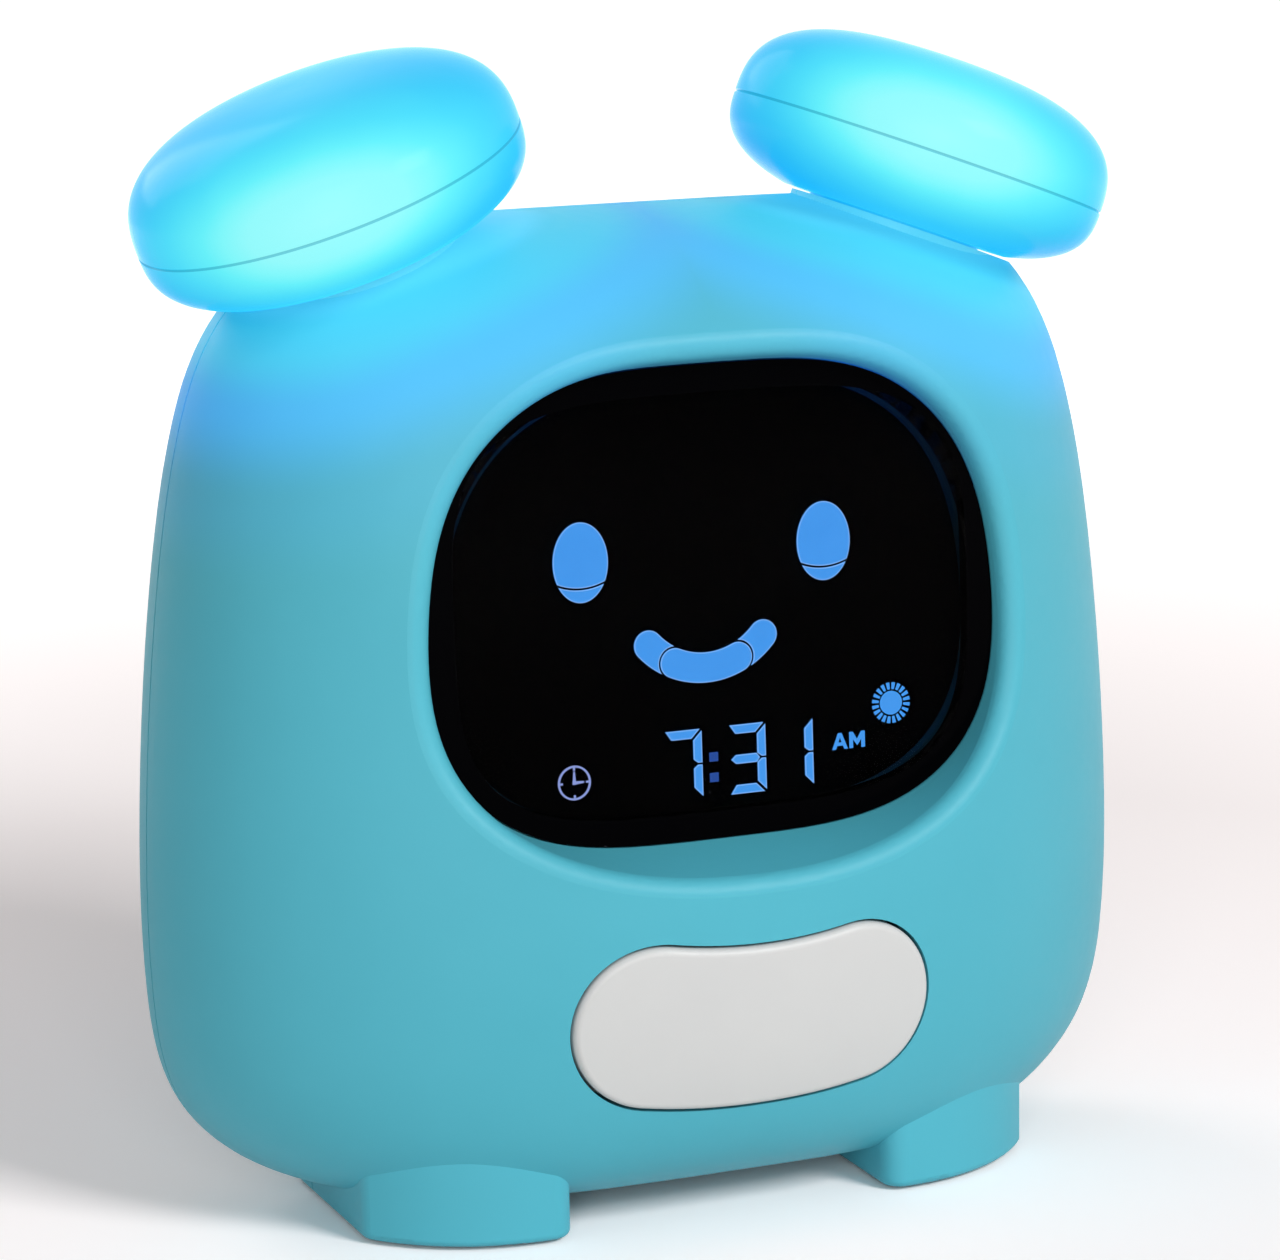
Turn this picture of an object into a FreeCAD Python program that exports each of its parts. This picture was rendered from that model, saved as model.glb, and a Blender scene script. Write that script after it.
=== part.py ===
"""Kids alarm clock with night light: a domed body on two feet, with a smoked
display window, one snooze button under it and two round lamps on its shoulders.

Millimetres. X runs to the viewer's right, Y to the rear and Z up. The shapes are
drawn with the parting plane of the two shells at Y = 0 and the table at Z = 0.
The last section centres the whole clock over the origin and writes the parts.
"""
import FreeCAD, Part
import math
import os

os.makedirs("parts", exist_ok=True)
V = FreeCAD.Vector

# Body form: a rounded box that swells to the front
BODY_WIDTH = 120.0
BODY_TOP = 115.4
BODY_BOTTOM = 2.4
FRONT_DEPTH = 38.1
REAR_DEPTH = 19.8
APEX_HEIGHT = 72.4
WALL = 2.2
PARTING_GAP = 0.3
TAPER = 0.073
WAIST = -0.078
CORNER_TOP = 5.63
CORNER_BOTTOM = 6.18
CORNER_FRONT = 2.5
FRONT_SIDE_CURVE = 1.877
FRONT_TOP_CURVE = 2.03
FRONT_CHIN_CURVE = 4.69
REAR_CURVE = 2.62
REAR_FLAT = 0.79
RING_POINTS = 36

# Display recess, window and what stands behind it
GLASS_HALF_WIDTH = 34.8
GLASS_HALF_HEIGHT = 27.25
GLASS_HEIGHT = 72.3
GLASS_DEPTH = -25.2
GLASS_LEAN = 0.042
GLASS_TAPER = 0.053
GLASS_WAIST = -0.164
GLASS_CORNER = 3.73
GLASS_THICK = 1.8
GLASS_CLEARANCE = 0.15
RIM_WIDER = 1.65
RIM_TALLER = 2.3
RIM_CORNER = 3.1
RIM_REACH = 10.0
RIM_ROUND = 2.0
TAPE_THICK = 0.2
TAPE_WIDTH = 2.0
LEDGE_WIDTH = 2.4
LEDGE_THICK = 1.4
CUP_WALL = 2.2
SEGMENT_THICK = 0.15
PANEL_THICK = 1.2
BACKLIGHT_THICK = 2.5
DISPLAY_BOARD_THICK = 1.2
FRAME_THICK = 1.6
FRAME_INSET = 0.3
EAR_REACH = 8.0
PANEL_OVERLAP = 1.2
PANEL_CLEARANCE = 0.2
TAPE_INSET = 0.1
DISPLAY_BOARD_OVERLAP = 1.2
DISPLAY_SCREW_SPAN_X = 40.4
DISPLAY_SCREW_SPAN_Z = 13.0
DISPLAY_SCREW_BITE = 3.0
SCREW_TIP_CLEARANCE = 0.3

# Lit segments, sizes on the panel from the window's centre
EYE_SPREAD = 15.1
EYE_HEIGHT = 5.4
EYE_HALF_WIDTH = 3.35
EYE_HALF_HEIGHT = 4.6
EYE_LID_DROP = 2.1
EYE_LID_SAG = 0.8
SEGMENT_GAP = 0.24
MOUTH_RADIUS = 9.6
MOUTH_WIDTH = 3.5
MOUTH_HEIGHT = -8.0
MOUTH_HALF_ANGLE = 48.0
MOUTH_SPLIT_ANGLE = 30.0
DIGIT_HEIGHT = 8.1
DIGIT_WIDTH = 4.6
DIGIT_STROKE = 1.05
DIGIT_BASE = -23.15
DIGIT_SEVEN_X = -5.5
DIGIT_THREE_X = 2.5
DIGIT_ONE_X = 8.5
COLON_X = 0.55
COLON_SIZE = 1.05
COLON_PITCH = 2.4
MARK_HEIGHT = 1.9
MARK_WIDTH = 1.95
MARK_STROKE = 0.42
MARK_X = 15.6
MARK_BASE = -19.25
SUN_X = 23.25
SUN_HEIGHT = -14.4
SUN_DISC_RADIUS = 1.4
SUN_RAY_INNER = 1.62
SUN_RAY_OUTER = 2.42
SUN_RAY_COUNT = 20
BELL_X = -16.75
BELL_HEIGHT = -19.75
BELL_RING_RADIUS = 2.0
BELL_STROKE = 0.22

# Snooze button: a bean outline, two round lobes joined by two long arcs
LOBE_SPREAD = 12.3
LOBE_HEIGHT = 26.3
LOBE_RADIUS = 9.7
BEAN_BELLY = 15.65
BEAN_DIP = 35.05
BUTTON_GAP = 0.35
BUTTON_PROUD = 0.45
BUTTON_WALL = 1.8
BUTTON_EDGE_ROUND = 0.9
BUTTON_TRAVEL = 1.2
BUTTON_FLANGE = 1.5
FLANGE_THICK = 1.2
FLANGE_CLEARANCE = 0.15
WELL_WALL = 1.6
WELL_END = -28.0
BUTTON_POST_RADIUS = 2.0
BUTTON_POST_REACH = 3.0
SPRING_SEAT_WIDTH = 1.0
SNOOZE_BOARD_FACE = -19.6
SNOOZE_BOARD_THICK = 1.2
SNOOZE_SCREW_SPAN = 28.6
SPRING_RADIUS = 2.7
SPRING_WIRE = 0.5
SPRING_TURNS = 4

# Lamps: two round diffusers, tilted outwards and a little to the front
LAMP_RADIUS = 23.0
LAMP_SPREAD = 37.06
LAMP_Y = -1.85
LAMP_HEIGHT = 119.7
LAMP_TILT = 20.25
LAMP_LEAN = 2.3
LAMP_TOP_THICK = 11.72
LAMP_BASE_THICK = 9.5
LAMP_CURVE = 2.75
LAMP_WALL = 1.6
LAMP_SEAM = 0.22
COLLAR_RADIUS = 12.8
COLLAR_TOP = 8.85
COLLAR_DEPTH = 9.0
COLLAR_WALL = 2.0
NECK_CLEARANCE = 0.2
NECK_GROOVE = 1.0
NECK_RIB_HEIGHT = 2.0
NECK_RIB_DROP = 4.0
LAMP_REVEAL = 0.3
LAMP_BOARD_THICK = 1.0
LAMP_BOARD_RADIUS = 9.0
LAMP_LED_RING = 5.6
LAMP_LED_COUNT = 6
LAMP_LED_SIZE = 2.4
LAMP_LED_THICK = 0.9
WIRE_RADIUS = 0.55

# Feet
FOOT_INNER = 19.8
FOOT_OUTER = 42.2
FOOT_FRONT_INNER = -28.2
FOOT_FRONT_MIDDLE = -26.1
FOOT_FRONT_OUTER = -18.6
FOOT_MIDDLE_X = 33.0
FOOT_REAR_INNER = 12.0
FOOT_REAR_OUTER = 8.0
FOOT_CORNER = 2.6
FOOT_EDGE_ROUND = 0.9
FOOT_RISE = 12.0
FOOT_WALL = 2.0
PAD_RADIUS = 5.0
PAD_THICK = 1.3
PAD_PROUD = 0.4
PAD_RECESS_CLEARANCE = 0.1
PAD_X = 31.0
PAD_FRONT_Y = -17.5
PAD_REAR_Y = 3.0

# Shell joints
LIP_DEPTH = 2.2
LIP_THICK = 1.1
LIP_CLEARANCE = 0.3
BOSS_RADIUS = 3.4
THREAD_CLEARANCE = 0.05
PASS_CLEARANCE = 0.2
SCREW_RADIUS = 1.3
SCREW_HOLE_RADIUS = SCREW_RADIUS + THREAD_CLEARANCE
SCREW_PASS_RADIUS = SCREW_RADIUS + PASS_CLEARANCE
SCREW_HEAD_RADIUS = 2.6
SCREW_HEAD_HEIGHT = 1.8
SCREW_HEAD_CLEARANCE = 0.3
SCREW_LENGTH = 10.0
HOUSING_SCREW_X = 46.0
HOUSING_SCREW_LOW = 24.0
HOUSING_SCREW_HIGH = 92.0
BOARD_SCREW_RADIUS = 1.0
BOARD_SCREW_HEAD = 1.9
BOARD_SCREW_HEAD_HEIGHT = 1.2
BOARD_SCREW_LENGTH = 6.0

# Main board and rear keys
MAIN_BOARD_WIDTH = 82.0
MAIN_BOARD_BOTTOM = 60.0
MAIN_BOARD_TOP = 98.0
MAIN_BOARD_THICK = 1.6
MAIN_BOARD_GAP = 9.4
KEY_NAMES = ["key_time", "key_alarm", "key_up", "key_down", "key_lamp"]
KEY_PITCH = 14.0
KEY_HEIGHT = 91.0
KEY_RADIUS = 4.0
KEY_CLEARANCE = 0.2
KEY_PROUD = 1.2
KEY_TRAVEL = 0.6
KEY_FLANGE = 0.9
KEY_FLANGE_THICK = 1.0
KEY_STEM_RADIUS = 1.4
SWITCH_SIZE = 6.0
SWITCH_HEIGHT = 3.4
SWITCH_PLUNGER_RADIUS = 1.7
SWITCH_PLUNGER_HEIGHT = 0.7
SWITCH_MARGIN = 0.1
SLIDER_X = 24.0
SLIDER_HEIGHT = 72.0
SLIDER_TRAVEL = 4.0
SLIDER_KNOB = 3.0
SLIDER_KNOB_TALL = 3.4
SLIDER_PROUD = 1.0
SLIDER_CLEARANCE = 0.3
SLIDER_LIFT = 0.2
SLIDER_TONGUE = 1.6
SLIDER_RIDGE = 0.4
SLIDER_RIDGE_PITCH = 0.9
SLOT_DEPTH = 2.0
SLIDE_BODY_LENGTH = 13.0
SLIDE_BODY_TALL = 6.0
SLIDE_BODY_DEEP = 4.0

# Speaker
SPEAKER_X = -18.0
SPEAKER_HEIGHT = 73.0
SPEAKER_RADIUS = 11.0
SPEAKER_DEPTH = 5.0
SPEAKER_RIM = 1.6
SPEAKER_RIM_THICK = 1.2
SPEAKER_SEAT_CLEARANCE = 0.2
SPEAKER_SEAT_DEPTH = 3.0
BASKET_STEP = 1.0
BASKET_WALL = 0.8
CONE_CLEARANCE = 0.1
CONE_RECESS = 1.0
CONE_DEPTH = 2.2
CONE_THICK = 0.4
CAP_RADIUS = 2.6
CAP_RISE = 1.0
ROLL_WIDTH = 1.5
ROLL_DROP = 0.5
MAGNET_RADIUS = 6.0
MAGNET_DEPTH = 2.2
MAGNET_OVERLAP = 2.0
GRILLE_SLOT = 1.2
GRILLE_PITCH = 2.8
GRILLE_ROWS = 7

# Battery box, three AAA cells
CELL_RADIUS = 5.25
CELL_LENGTH = 44.5
CELL_GAP = 0.4
CONTACT_SPACE = 2.6
BATTERY_WALL = 1.5
BATTERY_MIDDLE = 39.0
DOOR_THICK = 1.8
DOOR_LEDGE = 2.0
DOOR_GAP = 0.3
DOOR_SCREW_BOSS = 3.2
DOOR_EAR_RADIUS = 4.0
GRIP_PITCH = 1.6
GRIP_GROOVE = 0.7
GRIP_DEPTH = 0.4
GRIP_LENGTH = 14.0
GRIP_COUNT = 4
CELL_NUB_RADIUS = 1.9
CELL_NUB_LENGTH = 0.8
CONTACT_PLATE = 0.4
CONTACT_MARGIN = 1.0
BATTERY_SPRING_RADIUS = 2.6
BATTERY_SPRING_WIRE = 0.5
BATTERY_SPRING_TURNS = 3
COIL_CLEARANCE = 0.02

# Power inlet
USB_X = 36.5
USB_HEIGHT = 40.0
USB_WIDTH = 8.94
USB_TALL = 3.2
USB_DEPTH = 7.35
USB_SHELL = 0.3
USB_TONGUE_THICK = 0.7
USB_TONGUE_WIDTH = 6.2
USB_CLEARANCE = 0.4
USB_BOARD_WIDTH = 13.0
USB_BOARD_THICK = 1.2
USB_RECESS = 0.2
USB_BOARD_TAIL = 2.0
USB_RIB_SPREAD = 4.0
USB_RIB_WIDTH = 2.0
USB_RIB_TALL = 2.4

# Plugs and parts on the main board
PLUG_WIDTH = 6.0
PLUG_TALL = 5.0
PLUG_DEEP = 4.4
LAMP_PLUG_X = 20.0
LAMP_PLUG_Z = 91.0
SNOOZE_PLUG_X = 12.0
SNOOZE_PLUG_Z = 64.5
DISPLAY_PLUG_WIDTH = 16.0
DISPLAY_PLUG_TALL = 4.0
DISPLAY_PLUG_DEEP = 2.4
DISPLAY_PLUG_Z = 74.0
CAPACITOR_RADIUS = 2.5
CAPACITOR_HEIGHT = 6.5
WIRE_PAIR = 0.8
FLAT_CABLE_WIDTH = 14.0
FLAT_CABLE_THICK = 0.3
FLAT_CABLE_RISE = 3.0

HALF_WIDTH = BODY_WIDTH / 2
PARTS = {}


def keep(name, shape):
    """Hold a finished part under the name of its node."""
    PARTS[name] = shape
    return shape


def group(shapes):
    """Several separate solids that share one node."""
    return Part.makeCompound(list(shapes))


# Outlines


def superellipse(count, corner_top, corner_bottom):
    """Unit points of a rounded square, evenly spread by direction from the bottom."""
    points = []
    for step in range(count):
        angle = -math.pi / 2 + 2 * math.pi * step / count
        corner = corner_top if math.sin(angle) > 0 else corner_bottom
        reach = (abs(math.cos(angle)) ** corner + abs(math.sin(angle)) ** corner) ** (-1 / corner)
        points.append((reach * math.cos(angle), reach * math.sin(angle)))
    return points


def closed_curve(points):
    """One smooth closed edge through the points."""
    curve = Part.BSplineCurve()
    curve.interpolate(points, PeriodicFlag=True)
    return Part.Wire([curve.toShape()])


def profile(fraction, curve):
    """How much of a half size is left at a fraction of the depth."""
    return (1 - fraction ** curve) ** (1 / curve)


def body_ring(depth_fraction, inset, front):
    """Outline of the body at a fraction of the front or rear depth."""
    half = HALF_WIDTH - inset
    top = BODY_TOP - inset
    bottom = BODY_BOTTOM + inset
    if front:
        y = -(FRONT_DEPTH - inset) * depth_fraction
        half_width = half * profile(depth_fraction, FRONT_SIDE_CURVE)
        upper = APEX_HEIGHT + (top - APEX_HEIGHT) * profile(depth_fraction, FRONT_TOP_CURVE)
        lower = APEX_HEIGHT - (APEX_HEIGHT - bottom) * profile(depth_fraction, FRONT_CHIN_CURVE)
    else:
        y = (REAR_DEPTH - inset) * depth_fraction
        middle = (top + bottom) / 2
        half_width = half * profile(depth_fraction, REAR_CURVE)
        upper = middle + (top - middle) * profile(depth_fraction, REAR_CURVE)
        lower = middle - (middle - bottom) * profile(depth_fraction, REAR_CURVE)
    centre = (upper + lower) / 2
    half_height = (upper - lower) / 2
    soften = depth_fraction ** 1.5 if front else 0.0
    corner_top = CORNER_TOP + (CORNER_FRONT - CORNER_TOP) * soften
    corner_bottom = CORNER_BOTTOM + (CORNER_FRONT - CORNER_BOTTOM) * soften
    points = []
    for u, v in superellipse(RING_POINTS, corner_top, corner_bottom):
        x = half_width * u * (1 - TAPER * v + WAIST * v * v)
        points.append(V(x, y, centre + half_height * v))
    return closed_curve(points)


FRONT_STEPS = [0.0, 0.07, 0.16, 0.27, 0.39, 0.51, 0.63, 0.74, 0.83, 0.9, 0.95, 0.98, 0.993, 0.998]
REAR_STEPS = [0.0, 0.12, 0.26, 0.41, 0.55, 0.68, REAR_FLAT]


def front_dome(inset):
    """Solid front half of the body, from the parting plane to behind the window."""
    rings = [body_ring(step, inset, True) for step in FRONT_STEPS]
    return Part.makeLoft(rings, True, False)


def rear_dome(inset):
    """Solid rear half of the body, ending in the flat rear panel."""
    rings = [body_ring(step, inset, False) for step in REAR_STEPS]
    return Part.makeLoft(rings, True, False)


def parting_prism(inset, y_from, y_to):
    """The parting outline, drawn straight through from one depth to another."""
    ring = body_ring(0.0, inset, True)
    ring.translate(V(0, y_from, 0))
    return Part.Face(ring).extrude(V(0, y_to - y_from, 0))


def slab(y_from, y_to, x_from=-200.0, x_to=200.0, z_from=-200.0, z_to=400.0):
    """A plain block between two corners."""
    return Part.makeBox(x_to - x_from, y_to - y_from, z_to - z_from, V(x_from, y_from, z_from))


def rod(x, z, radius, y_from, y_to):
    """A round bar along Y."""
    return Part.makeCylinder(radius, y_to - y_from, V(x, y_from, z), V(0, 1, 0))


def block(x, z, width, tall, y_from, y_to):
    """A block centred on a point of the XZ plane."""
    return Part.makeBox(width, y_to - y_from, tall, V(x - width / 2, y_from, z - tall / 2))


# Display frame of reference: Y = 0 is the window's front face, Z = 0 its middle


def on_display(shape):
    """Lean a shape back and carry it to the window's place."""
    placed = shape.copy()
    placed.rotate(V(0, 0, 0), V(1, 0, 0), -math.degrees(math.atan(GLASS_LEAN)))
    placed.translate(V(0, GLASS_DEPTH, GLASS_HEIGHT))
    return placed


def window_ring(offset, y, wider=0.0, taller=0.0, corner=GLASS_CORNER):
    """The window's outline, grown by an offset, at a depth in the display's frame."""
    half_width = GLASS_HALF_WIDTH + offset + wider
    half_height = GLASS_HALF_HEIGHT + offset + taller
    points = []
    for u, v in superellipse(RING_POINTS, corner, corner):
        points.append(V(half_width * u * (1 - GLASS_TAPER * v + GLASS_WAIST * v * v), y, half_height * v))
    return closed_curve(points)


def window_plate(offset, y_from, y_to):
    """A plate in the window's outline."""
    return Part.Face(window_ring(offset, y_from)).extrude(V(0, y_to - y_from, 0))


def flare(offset, y_near):
    """The recess in front of the window, which opens towards the viewer."""
    inner = window_ring(offset, y_near)
    outer = window_ring(offset, -2 * RIM_REACH, 2 * RIM_WIDER, 2 * RIM_TALLER, 2 * RIM_CORNER - GLASS_CORNER)
    return Part.makeLoft([inner, outer], True, True)


SEAT_BACK = GLASS_THICK + TAPE_THICK
LEDGE_BACK = SEAT_BACK + LEDGE_THICK
SEGMENT_FACE = LEDGE_BACK
PANEL_FACE = SEGMENT_FACE + SEGMENT_THICK
PANEL_BACK = PANEL_FACE + PANEL_THICK
BACKLIGHT_BACK = PANEL_BACK + BACKLIGHT_THICK
DISPLAY_BOARD_BACK = BACKLIGHT_BACK + DISPLAY_BOARD_THICK
EAR_FACE = BACKLIGHT_BACK - FRAME_THICK

# Snooze button outline


def bean(offset):
    """The button's outline, grown by an offset, as four tangent arcs at Y = 0."""
    radius = LOBE_RADIUS
    belly_rise = LOBE_HEIGHT - BEAN_BELLY
    dip_rise = BEAN_DIP - LOBE_HEIGHT
    belly_radius = (LOBE_SPREAD ** 2 + belly_rise ** 2 - radius ** 2) / (2 * (belly_rise - radius))
    dip_radius = (LOBE_SPREAD ** 2 + dip_rise ** 2 - radius ** 2) / (2 * (radius - dip_rise))
    belly_centre = V(0, 0, BEAN_BELLY + belly_radius)
    dip_centre = V(0, 0, BEAN_DIP + dip_radius)
    left = V(-LOBE_SPREAD, 0, LOBE_HEIGHT)
    right = V(LOBE_SPREAD, 0, LOBE_HEIGHT)

    def towards(start, through, length):
        return start + (through - start).normalize() * length

    belly_left = towards(belly_centre, left, belly_radius + offset)
    belly_right = towards(belly_centre, right, belly_radius + offset)
    dip_left = towards(dip_centre, left, dip_radius - offset)
    dip_right = towards(dip_centre, right, dip_radius - offset)
    grown = radius + offset
    edges = [
        Part.Arc(belly_left, V(0, 0, BEAN_BELLY - offset), belly_right).toShape(),
        Part.Arc(belly_right, right + V(grown, 0, 0), dip_right).toShape(),
        Part.Arc(dip_right, V(0, 0, BEAN_DIP + offset), dip_left).toShape(),
        Part.Arc(dip_left, left - V(grown, 0, 0), belly_left).toShape(),
    ]
    return Part.Wire(edges)


def bean_prism(offset, y_from, y_to):
    """The button's outline drawn along Y."""
    wire = bean(offset)
    wire.translate(V(0, y_from, 0))
    return Part.Face(wire).extrude(V(0, y_to - y_from, 0))


# Wires and springs


def tube(points, radius):
    """Straight runs joined by tangent arcs, as one round wire."""
    points = [V(*p) for p in points]
    edges = []
    start = points[0]
    for before, corner, after in zip(points, points[1:], points[2:]):
        back = before - corner
        ahead = after - corner
        turn = math.pi - back.getAngle(ahead)
        setback = 0.45 * min(back.Length, ahead.Length)
        back.normalize()
        ahead.normalize()
        enter = corner + back * setback
        leave = corner + ahead * setback
        arc_radius = setback / math.tan(turn / 2)
        halfway = (back + ahead).normalize()
        middle = corner + halfway * (arc_radius / math.cos(turn / 2) - arc_radius)
        edges.append(Part.LineSegment(start, enter).toShape())
        edges.append(Part.Arc(enter, middle, leave).toShape())
        start = leave
    edges.append(Part.LineSegment(start, points[-1]).toShape())
    path = Part.Wire(edges)
    section = Part.Wire([Part.Circle(points[0], points[1] - points[0], radius).toShape()])
    return path.makePipeShell([section], True, False)


def coil(centre, radius, wire, turns, length):
    """A spring along Y: one unbroken wire on quarter turn arcs."""
    def at(turn):
        angle = 2 * math.pi * turn
        return centre + V(radius * math.cos(angle), length * turn / turns, radius * math.sin(angle))

    edges = []
    quarters = int(4 * turns)
    for quarter in range(quarters):
        edges.append(Part.Arc(at(quarter / 4), at(quarter / 4 + 0.125), at(quarter / 4 + 0.25)).toShape())
    path = Part.Wire(edges)
    heading = edges[0].tangentAt(edges[0].FirstParameter)
    section = Part.Wire([Part.Circle(at(0), heading, wire / 2).toShape()])
    return path.makePipeShell([section], True, False)


# Fasteners


def screw(x, z, y_head, direction, radius, length, head_radius, head_height):
    """A pan head screw along Y with a cross recess; direction is the way its tip points."""
    tip = y_head + direction * length
    head_back = y_head - direction * head_height
    shank = rod(x, z, radius, min(y_head, tip), max(y_head, tip))
    head = rod(x, z, head_radius, min(y_head, head_back), max(y_head, head_back))
    arm = head_radius * 1.1
    slot = head_radius * 0.28
    depth = head_height * 0.6
    floor = head_back + direction * depth
    low = min(head_back, floor) - 0.5 * (1 if direction > 0 else 0)
    high = max(head_back, floor) + 0.5 * (0 if direction > 0 else 1)
    cross = block(x, z, arm, slot, low, high).fuse(block(x, z, slot, arm, low, high))
    return head.fuse(shank).cut(cross)


# Feet


def foot_outline(side, inset, z):
    """Plan of one foot: straight inner and outer sides, a bowed front, a bowed rear."""
    inner = side * (FOOT_INNER + inset)
    outer = side * (FOOT_OUTER - inset)
    middle = side * FOOT_MIDDLE_X
    front = Part.Arc(V(inner, FOOT_FRONT_INNER + inset, z), V(middle, FOOT_FRONT_MIDDLE + inset, z),
                     V(outer, FOOT_FRONT_OUTER + inset, z))
    rear_middle = (FOOT_REAR_INNER + FOOT_REAR_OUTER) / 2 + 1.0
    rear = Part.Arc(V(outer, FOOT_REAR_OUTER - inset, z), V(middle, rear_middle - inset, z),
                    V(inner, FOOT_REAR_INNER - inset, z))
    edges = [
        front.toShape(),
        Part.LineSegment(V(outer, FOOT_FRONT_OUTER + inset, z), V(outer, FOOT_REAR_OUTER - inset, z)).toShape(),
        rear.toShape(),
        Part.LineSegment(V(inner, FOOT_REAR_INNER - inset, z), V(inner, FOOT_FRONT_INNER + inset, z)).toShape(),
    ]
    return Part.Wire(edges)


def foot_block(side):
    """Outer form of one foot with rounded corners and a rounded sole edge."""
    solid = Part.Face(foot_outline(side, 0.0, PAD_PROUD)).extrude(V(0, 0, FOOT_RISE))
    uprights = [e for e in solid.Edges if e.BoundBox.ZLength > FOOT_RISE * 0.9]
    solid = solid.makeFillet(FOOT_CORNER, uprights)
    sole = [e for e in solid.Edges if e.BoundBox.ZMax < PAD_PROUD + 0.01]
    return solid.makeFillet(FOOT_EDGE_ROUND, sole)


def foot_hollow(side):
    """The space inside one foot, open to the body above it."""
    return Part.Face(foot_outline(side, FOOT_WALL, PAD_PROUD + FOOT_WALL)).extrude(V(0, 0, FOOT_RISE))


FEET = foot_block(-1).fuse(foot_block(1))
FOOT_HOLLOWS = foot_hollow(-1).fuse(foot_hollow(1))
PAD_PLACES = [(side * PAD_X, y) for side in (-1, 1) for y in (PAD_FRONT_Y, PAD_REAR_Y)]


def pad_disc(radius, z_from, z_to):
    """The four round places under the feet."""
    return group(Part.makeCylinder(radius, z_to - z_from, V(x, y, z_from)) for x, y in PAD_PLACES)


PAD_RECESS = pad_disc(PAD_RADIUS + PAD_RECESS_CLEARANCE, -1.0, PAD_THICK)
keep("foot_pads", pad_disc(PAD_RADIUS, 0.0, PAD_THICK))

# Lamps: frames of reference, Z along the lamp's axis and Z = 0 on its seam


def lamp_place(shape, side):
    """Carry a shape from the lamp's own frame to its shoulder."""
    placed = shape.copy()
    placed.rotate(V(0, 0, 0), V(1, 0, 0), LAMP_LEAN)
    placed.rotate(V(0, 0, 0), V(0, 1, 0), side * LAMP_TILT)
    placed.translate(V(side * LAMP_SPREAD, LAMP_Y, LAMP_HEIGHT))
    return placed


def diffuser(full_radius, thick, seam, sign):
    """Solid of one half of a lamp, turned about its axis."""
    steps = 16
    points = []
    for step in range(steps + 1):
        angle = math.pi / 2 * step / steps
        radius = full_radius * math.sin(angle) ** (2 / LAMP_CURVE) if step else 0.0
        height = thick * math.cos(angle) ** (2 / LAMP_CURVE) if step < steps else 0.0
        points.append(V(radius, 0, sign * height))
    points = [p for p in points if sign * p.z > seam * 1.5]
    points.append(V(full_radius, 0, sign * seam))
    curve = Part.BSplineCurve()
    curve.interpolate(points)
    low_rim = V(full_radius - seam, 0, 0)
    edges = [curve.toShape()]
    if seam > 0:
        edges.append(Part.LineSegment(points[-1], low_rim).toShape())
    rim = low_rim if seam > 0 else points[-1]
    edges.append(Part.LineSegment(rim, V(0, 0, 0)).toShape())
    edges.append(Part.LineSegment(V(0, 0, 0), points[0]).toShape())
    return Part.Face(Part.Wire(edges)).revolve(V(0, 0, 0), V(0, 0, 1), 360)


NECK_RADIUS = COLLAR_RADIUS - COLLAR_WALL - NECK_CLEARANCE
NECK_BOTTOM = -(COLLAR_TOP + COLLAR_DEPTH)
LAMP_FLAT = -(COLLAR_TOP - LAMP_REVEAL)
LAMP_FLOOR = LAMP_FLAT + LAMP_WALL
RIB_MIDDLE = -(COLLAR_TOP + NECK_RIB_DROP)


def lamp_cylinder(radius, z_from, z_to):
    """A round bar along the lamp's axis."""
    return Part.makeCylinder(radius, z_to - z_from, V(0, 0, z_from), V(0, 0, 1))


def lamp_top():
    """Upper diffuser, an even shell."""
    outer = diffuser(LAMP_RADIUS, LAMP_TOP_THICK, LAMP_SEAM, 1)
    inner = diffuser(LAMP_RADIUS - LAMP_WALL, LAMP_TOP_THICK - LAMP_WALL, 0.0, 1)
    return outer.cut(inner)


def lamp_base():
    """Lower diffuser with a flat floor and a grooved neck that the collars hold."""
    outer = diffuser(LAMP_RADIUS, LAMP_BASE_THICK, LAMP_SEAM, -1)
    outer = outer.cut(lamp_cylinder(LAMP_RADIUS * 2, LAMP_FLAT - 20.0, LAMP_FLAT))
    outer = outer.fuse(lamp_cylinder(NECK_RADIUS, NECK_BOTTOM, LAMP_FLAT + 0.5))
    inner = diffuser(LAMP_RADIUS - LAMP_WALL, LAMP_BASE_THICK - LAMP_WALL, 0.0, -1)
    inner = inner.cut(lamp_cylinder(LAMP_RADIUS * 2, LAMP_FLOOR - 20.0, LAMP_FLOOR))
    bore = lamp_cylinder(NECK_RADIUS - NECK_GROOVE - LAMP_WALL, NECK_BOTTOM - 1.0, LAMP_FLOOR + 1.0)
    half_groove = NECK_RIB_HEIGHT / 2 + NECK_CLEARANCE
    groove = lamp_cylinder(NECK_RADIUS + 1.0, RIB_MIDDLE - half_groove, RIB_MIDDLE + half_groove)
    groove = groove.cut(lamp_cylinder(NECK_RADIUS - NECK_GROOVE, RIB_MIDDLE - 5.0, RIB_MIDDLE + 5.0))
    return outer.cut(inner).cut(bore).cut(groove)


def lamp_board():
    """Round board on the lamp's floor, over the neck's bore."""
    return lamp_cylinder(LAMP_BOARD_RADIUS, LAMP_FLOOR, LAMP_FLOOR + LAMP_BOARD_THICK)


def lamp_leds():
    """A ring of light emitters on the board."""
    z = LAMP_FLOOR + LAMP_BOARD_THICK
    chips = []
    for step in range(LAMP_LED_COUNT):
        angle = 2 * math.pi * step / LAMP_LED_COUNT
        x = LAMP_LED_RING * math.cos(angle)
        y = LAMP_LED_RING * math.sin(angle)
        corner = V(x - LAMP_LED_SIZE / 2, y - LAMP_LED_SIZE / 2, z)
        chips.append(Part.makeBox(LAMP_LED_SIZE, LAMP_LED_SIZE, LAMP_LED_THICK, corner))
    return group(chips)


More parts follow.
